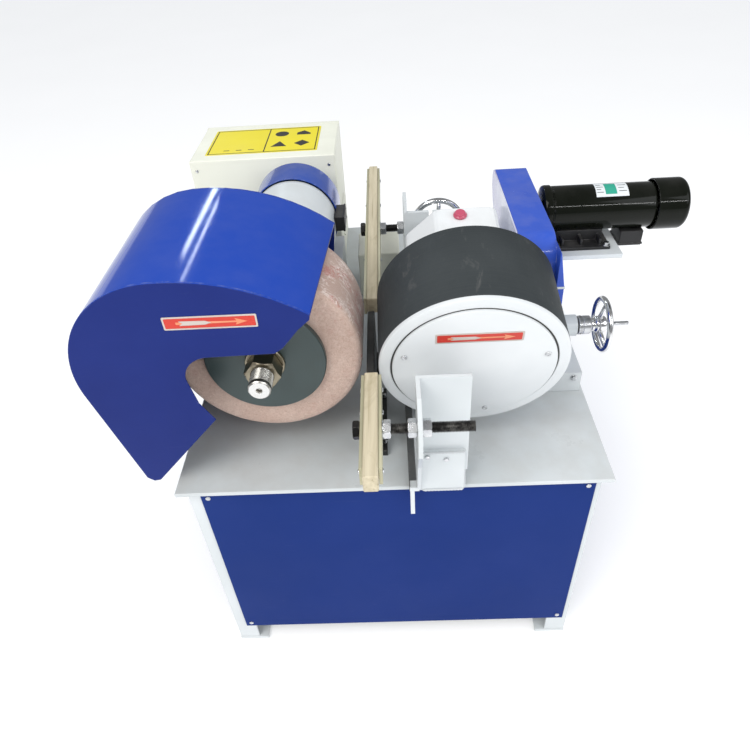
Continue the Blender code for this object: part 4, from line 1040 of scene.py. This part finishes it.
def control_box_details():
    low, high = Vector((-67, 704, 0.3)), Vector((257, 908, 284))
    screws = Piece("control_box_screws", "zinc")
    for x in (low.x + 14, high.x - 14):
        for z in (20, 262):
            screws.screw((x, low.y, z), (0, -1, 0), 3.6, 2.0)
    screws.done()
    louvres = Piece("control_box_louvres", "cream")
    for row in range(6):
        z = 60 + 14 * row
        for x, sign in ((low.x, -1), (high.x, 1)):
            points = [(0, 0), (4.5, -6.5), (4.5, -7.5), (0, -7.5)]
            outline = [(x + sign * a, z + b) for a, b in points]
            louvres.prism(outline, "XZ", 770, 850)
    louvres.done(bevel=0.5)
    hinges = Piece("door_hinges", "zinc")
    for z in (44, 240):
        hinges.rod((-68.8, 908.1, z - 18), (-68.8, 908.1, z + 18), 3.2, sides=20)
    hinges.done()
    latch = Piece("door_latch", "zinc", "door")
    latch.rod((238, DOOR_FACE, 92), (238, 926.5, 92), 9, sides=32)
    latch.rod((238, 926.3, 92), (238, 929.2, 92), 6, sides=32)
    latch.block((236.6, 929, 86.5), (239.4, 930.2, 97.5))
    latch.done()
    bezels = Piece("button_bezels", "zinc", "door")
    for x in (35, 95, 165):
        bezels.lathe([(9.6, 0), (14, 0), (14, 1.6), (12.4, 3), (9.6, 3)], 40, closed=True,
                     turn=facing((x, DOOR_FACE, 180), (0, 1, 0)))
    bezels.done()
    ticks = Piece("speed_dial_ticks", "label_ink", "door")
    for step in range(11):
        x, z = polar(-60 + 30 * step)
        ray, centre = Vector((x, 0, z)), Vector((165, DOOR_FACE, 180))
        ticks.rod(centre + ray * 22, centre + ray * 27, 0.7, sides=6, ease=0.1)
    ticks.done()


# Labels, all without words or marks


def rounded(size, corner):
    """The outline of a flat label with round corners."""
    w, h = size[0] / 2 - corner, size[1] / 2 - corner
    corners = ((w, h, 0), (-w, h, 90), (-w, -h, 180), (w, -h, 270))
    return [p for x, y, a in corners for p in arc((x, y), corner, a, a + 90, 5)]


def sheet(piece, outline, spot, thick):
    """A thin sheet lying at a spot, which is its centre and its directions right and up."""
    base, right, up = (Vector(part) for part in spot)
    out = right.cross(up).normalized()
    piece.tube([[base + right * a + up * b + out * t for a, b in outline] for t in (0.0, thick)])


def ruled(piece, outline, spot, width, thick):
    """A frame line along a rectangle (low x, low y, high x, high y)."""
    x0, y0, x1, y1 = outline
    for a, b, c, d in ((x0, y0, x1, y0 + width), (x0, y1 - width, x1, y1), (x0, y0, x0 + width, y1),
                       (x1 - width, y0, x1, y1)):
        sheet(piece, [(a, b), (c, b), (c, d), (a, d)], spot, thick)


def arrow_label(name, body, axes, centre, size):
    """A red direction plate: a silver border and an arrow that fades along its length."""
    spot = centre, (1, 0, 0), (0, 0, 1)
    w, h = size
    head, tail, half = w * 0.40, -w * 0.36, h * 0.10
    points = [(tail, -half), (head - h * 0.7, -half * 0.6), (head - h * 0.8, -h * 0.26), (head, 0),
              (head - h * 0.8, h * 0.26), (head - h * 0.7, half * 0.6), (tail, half)]
    tail_points = [(tail + 4, -h * 0.17), (-w * 0.05, -h * 0.15), (w * 0.02, 0),
                   (-w * 0.05, h * 0.15), (tail + 4, h * 0.17), (tail + 9, 0)]
    for part, finish, outline, thick in (
        ("_plate", "label_silver", rounded(size, 2.0), 0.5),
        ("_field", "label_red", rounded((w - 5, h - 5), 1.5), 0.75),
        ("_arrow", "label_orange", points, 0.95),
        ("_arrow_tail", "label_silver", tail_points, 1.1),
    ):
        piece = Piece(name + part, finish, body, axes)
        sheet(piece, outline, spot, thick)
        piece.done()


def box_label():
    """A yellow plate on the control box: a plain panel beside four simple signs."""
    spot = (89.5, 812.5, 284.0), (1, 0, 0), (0, 1, 0)
    back = Piece("box_label_plate", "label_yellow")
    sheet(back, rounded((253, 155), 3), spot, 0.4)
    back.done()
    ink = Piece("box_label_lines", "label_ink")
    ruled(ink, (-122, -73, 122, 73), spot, 2.2, 0.65)
    sheet(ink, [(4, -73), (6.5, -73), (6.5, 73), (4, 73)], spot, 0.65)
    for x in (-88, -60, -32):
        sheet(ink, [(x, -56), (x + 13, -56), (x + 13, -53), (x, -53)], spot, 0.6)
    disc = arc((36, 36), 16, 0, 360, 24)[:-1]
    pentagon = [(72, 26), (104, 26), (104, 34), (88, 52), (72, 40)]
    triangle = [(18, -44), (54, -44), (36, -12)]
    diamond = [(88, -46), (106, -28), (88, -10), (70, -28)]
    for sign in (disc, pentagon, triangle, diamond):
        sheet(ink, sign, spot, 0.6)
    ink.done()


polishing_wheel()
spindle_parts()
wheel_hood()
drum_parts()
guide_rods()
handwheel("feed_hand_wheel", "feed", "feed_handwheel", at(794, 381, 30, (1, 0, 0)), True)
handwheel("tilt_hand_wheel", "tilt_adjuster", "tilt_handwheel", at(476, 600, 160, (0, 1, 0)))
main_motor()
drive_motor()
belt_cover()
head_details()
fixings()
painted_tie_shade()
panel_screws()
control_box_details()
arrow_label("hood_label", "machine", MACHINE, (129, 20.9, 326.5), (128, 21))
arrow_label("drum_label", "drum", HEAD, (3, -5.0, 70), (126, 20))
box_label()


# Studio

FLOOR_REACH, FLOOR_DROP, FLOOR_GLOW = 14.0, 0.0005, 0.18
WORLD_STRENGTH, WORLD_IN_GLOSS, WORLD_IN_VIEW = 0.80, -0.50, 0.20
SENSOR, FOCAL_PIXELS, PICTURE_PIXELS = 36.0, 635.18, 750
VIEW_ANGLES = (-2.788, 40.075, 4.131)
EYE = (377.94, -671.96, 806.10)


def studio_white():
    """The floor: plain matt white with a faint glow of its own."""
    tree = Tree("studio_floor")
    white = (0.90, 0.90, 0.90)
    faint = tuple(0.985 * c for c in white)
    tone = tree.mix(tree.span(tree.noise(tree.place(), 1.5, 3), 0.3, 0.7), white, faint)
    bump = tree.bump(tree.noise(tree.place(), 60, 3), 0.2, 0.1)
    glow = {"Emission_Color": (1.0, 1.0, 1.0, 1.0), "Emission_Strength": FLOOR_GLOW}
    return tree.finish(tone, 0.9, bump, Specular_IOR_Level=0.05, **glow)


def floor():
    mesh = bpy.data.meshes.new("studio_floor")
    shape = bmesh.new()
    bmesh.ops.create_grid(shape, x_segments=1, y_segments=1, size=FLOOR_REACH)
    shape.to_mesh(mesh)
    shape.free()
    mesh.materials.append(studio_white())
    obj = new_object("studio_floor", mesh)
    obj.location = (0, 0, CAD_BOX[0].z - FLOOR_DROP)


def area_light(name, place, target, size, power, colour, along=None):
    """A rectangular light aimed at a target, its long side along a direction if one is given."""
    data = bpy.data.lights.new(name, "AREA")
    data.shape = "RECTANGLE"
    data.size, data.size_y = size
    data.energy = power
    data.color = colour
    obj = new_object(name, data)
    place, target = Vector(place), Vector(target)
    aim = (target - place).normalized()
    if along is None:
        turn = aim.to_track_quat("-Z", "Y").to_matrix()
    else:
        back = -aim
        side = (Vector(along) - Vector(along).dot(back) * back).normalized()
        turn = Matrix((side, back.cross(side), back)).transposed()
    obj.matrix_world = Matrix.Translation(place) @ turn.to_4x4()


def machine_point(x, y, z):
    return CORNER + Vector((x, y, z)) * MM


def lights():
    """A dimmer world in reflections, soft key and fill, and strips for the streaks on the paint."""
    tree = Tree("studio", bpy.data.worlds)
    bpy.context.scene.world = tree.owner
    background = tree.nodes["Background"].inputs
    background["Color"].default_value = (0.95, 0.97, 1.0, 1.0)
    rays = tree.add("LightPath").outputs
    strength = WORLD_STRENGTH
    for ray, change in (("Is Glossy Ray", WORLD_IN_GLOSS), ("Is Camera Ray", WORLD_IN_VIEW)):
        strength = tree.maths("ADD", strength, tree.times(rays[ray], change))
    tree.put(background["Strength"], strength)
    area_light("key", (-1.8, -2.4, 3.6), (0, 0, 0.4), (2.4, 2.4), 95, (1.0, 0.98, 0.95))
    area_light("fill", (2.8, -1.6, 2.4), (0, 0, 0.5), (2.0, 2.0), 26, (0.95, 0.98, 1.0))
    hood_top, sky = machine_point(92, 220, 390), (0.80, 0.93, 1.0)
    area_light("window", (-0.79, 1.56, 1.77), hood_top, (0.40, 0.055), 1.7, sky,
               (0.30, 0.86, -0.41))
    area_light("window_edge", (-0.71, 1.42, 1.88), hood_top, (0.42, 0.022), 0.9, sky,
               (0.23, 0.87, -0.45))
    area_light("tube", (0.99, -1.60, 1.82), machine_point(745, 395, 285), (1.7, 0.026), 9,
               (1, 1, 1), (0.98, 0.12, -0.13))


def camera():
    """The camera that was fitted to the photograph."""
    data = bpy.data.cameras.new("camera")
    data.sensor_width = SENSOR
    data.lens = FOCAL_PIXELS / PICTURE_PIXELS * SENSOR
    data.clip_start, data.clip_end = 0.02, 60
    obj = new_object("camera", data)
    yaw, pitch, roll = (math.radians(angle) for angle in VIEW_ANGLES)
    reach = math.cos(pitch)
    forward = Vector((math.sin(yaw) * reach, math.cos(yaw) * reach, -math.sin(pitch)))
    level = Vector((math.cos(yaw), -math.sin(yaw), 0))
    upright = level.cross(forward)
    right = math.cos(roll) * level - math.sin(roll) * upright
    up = math.sin(roll) * level + math.cos(roll) * upright
    turn = Matrix((right, up, -forward)).transposed().to_4x4()
    obj.matrix_world = Matrix.Translation(machine_point(*EYE)) @ turn
    bpy.context.scene.camera = obj


floor()
lights()
camera()
bpy.context.scene.view_settings.view_transform = "Standard"
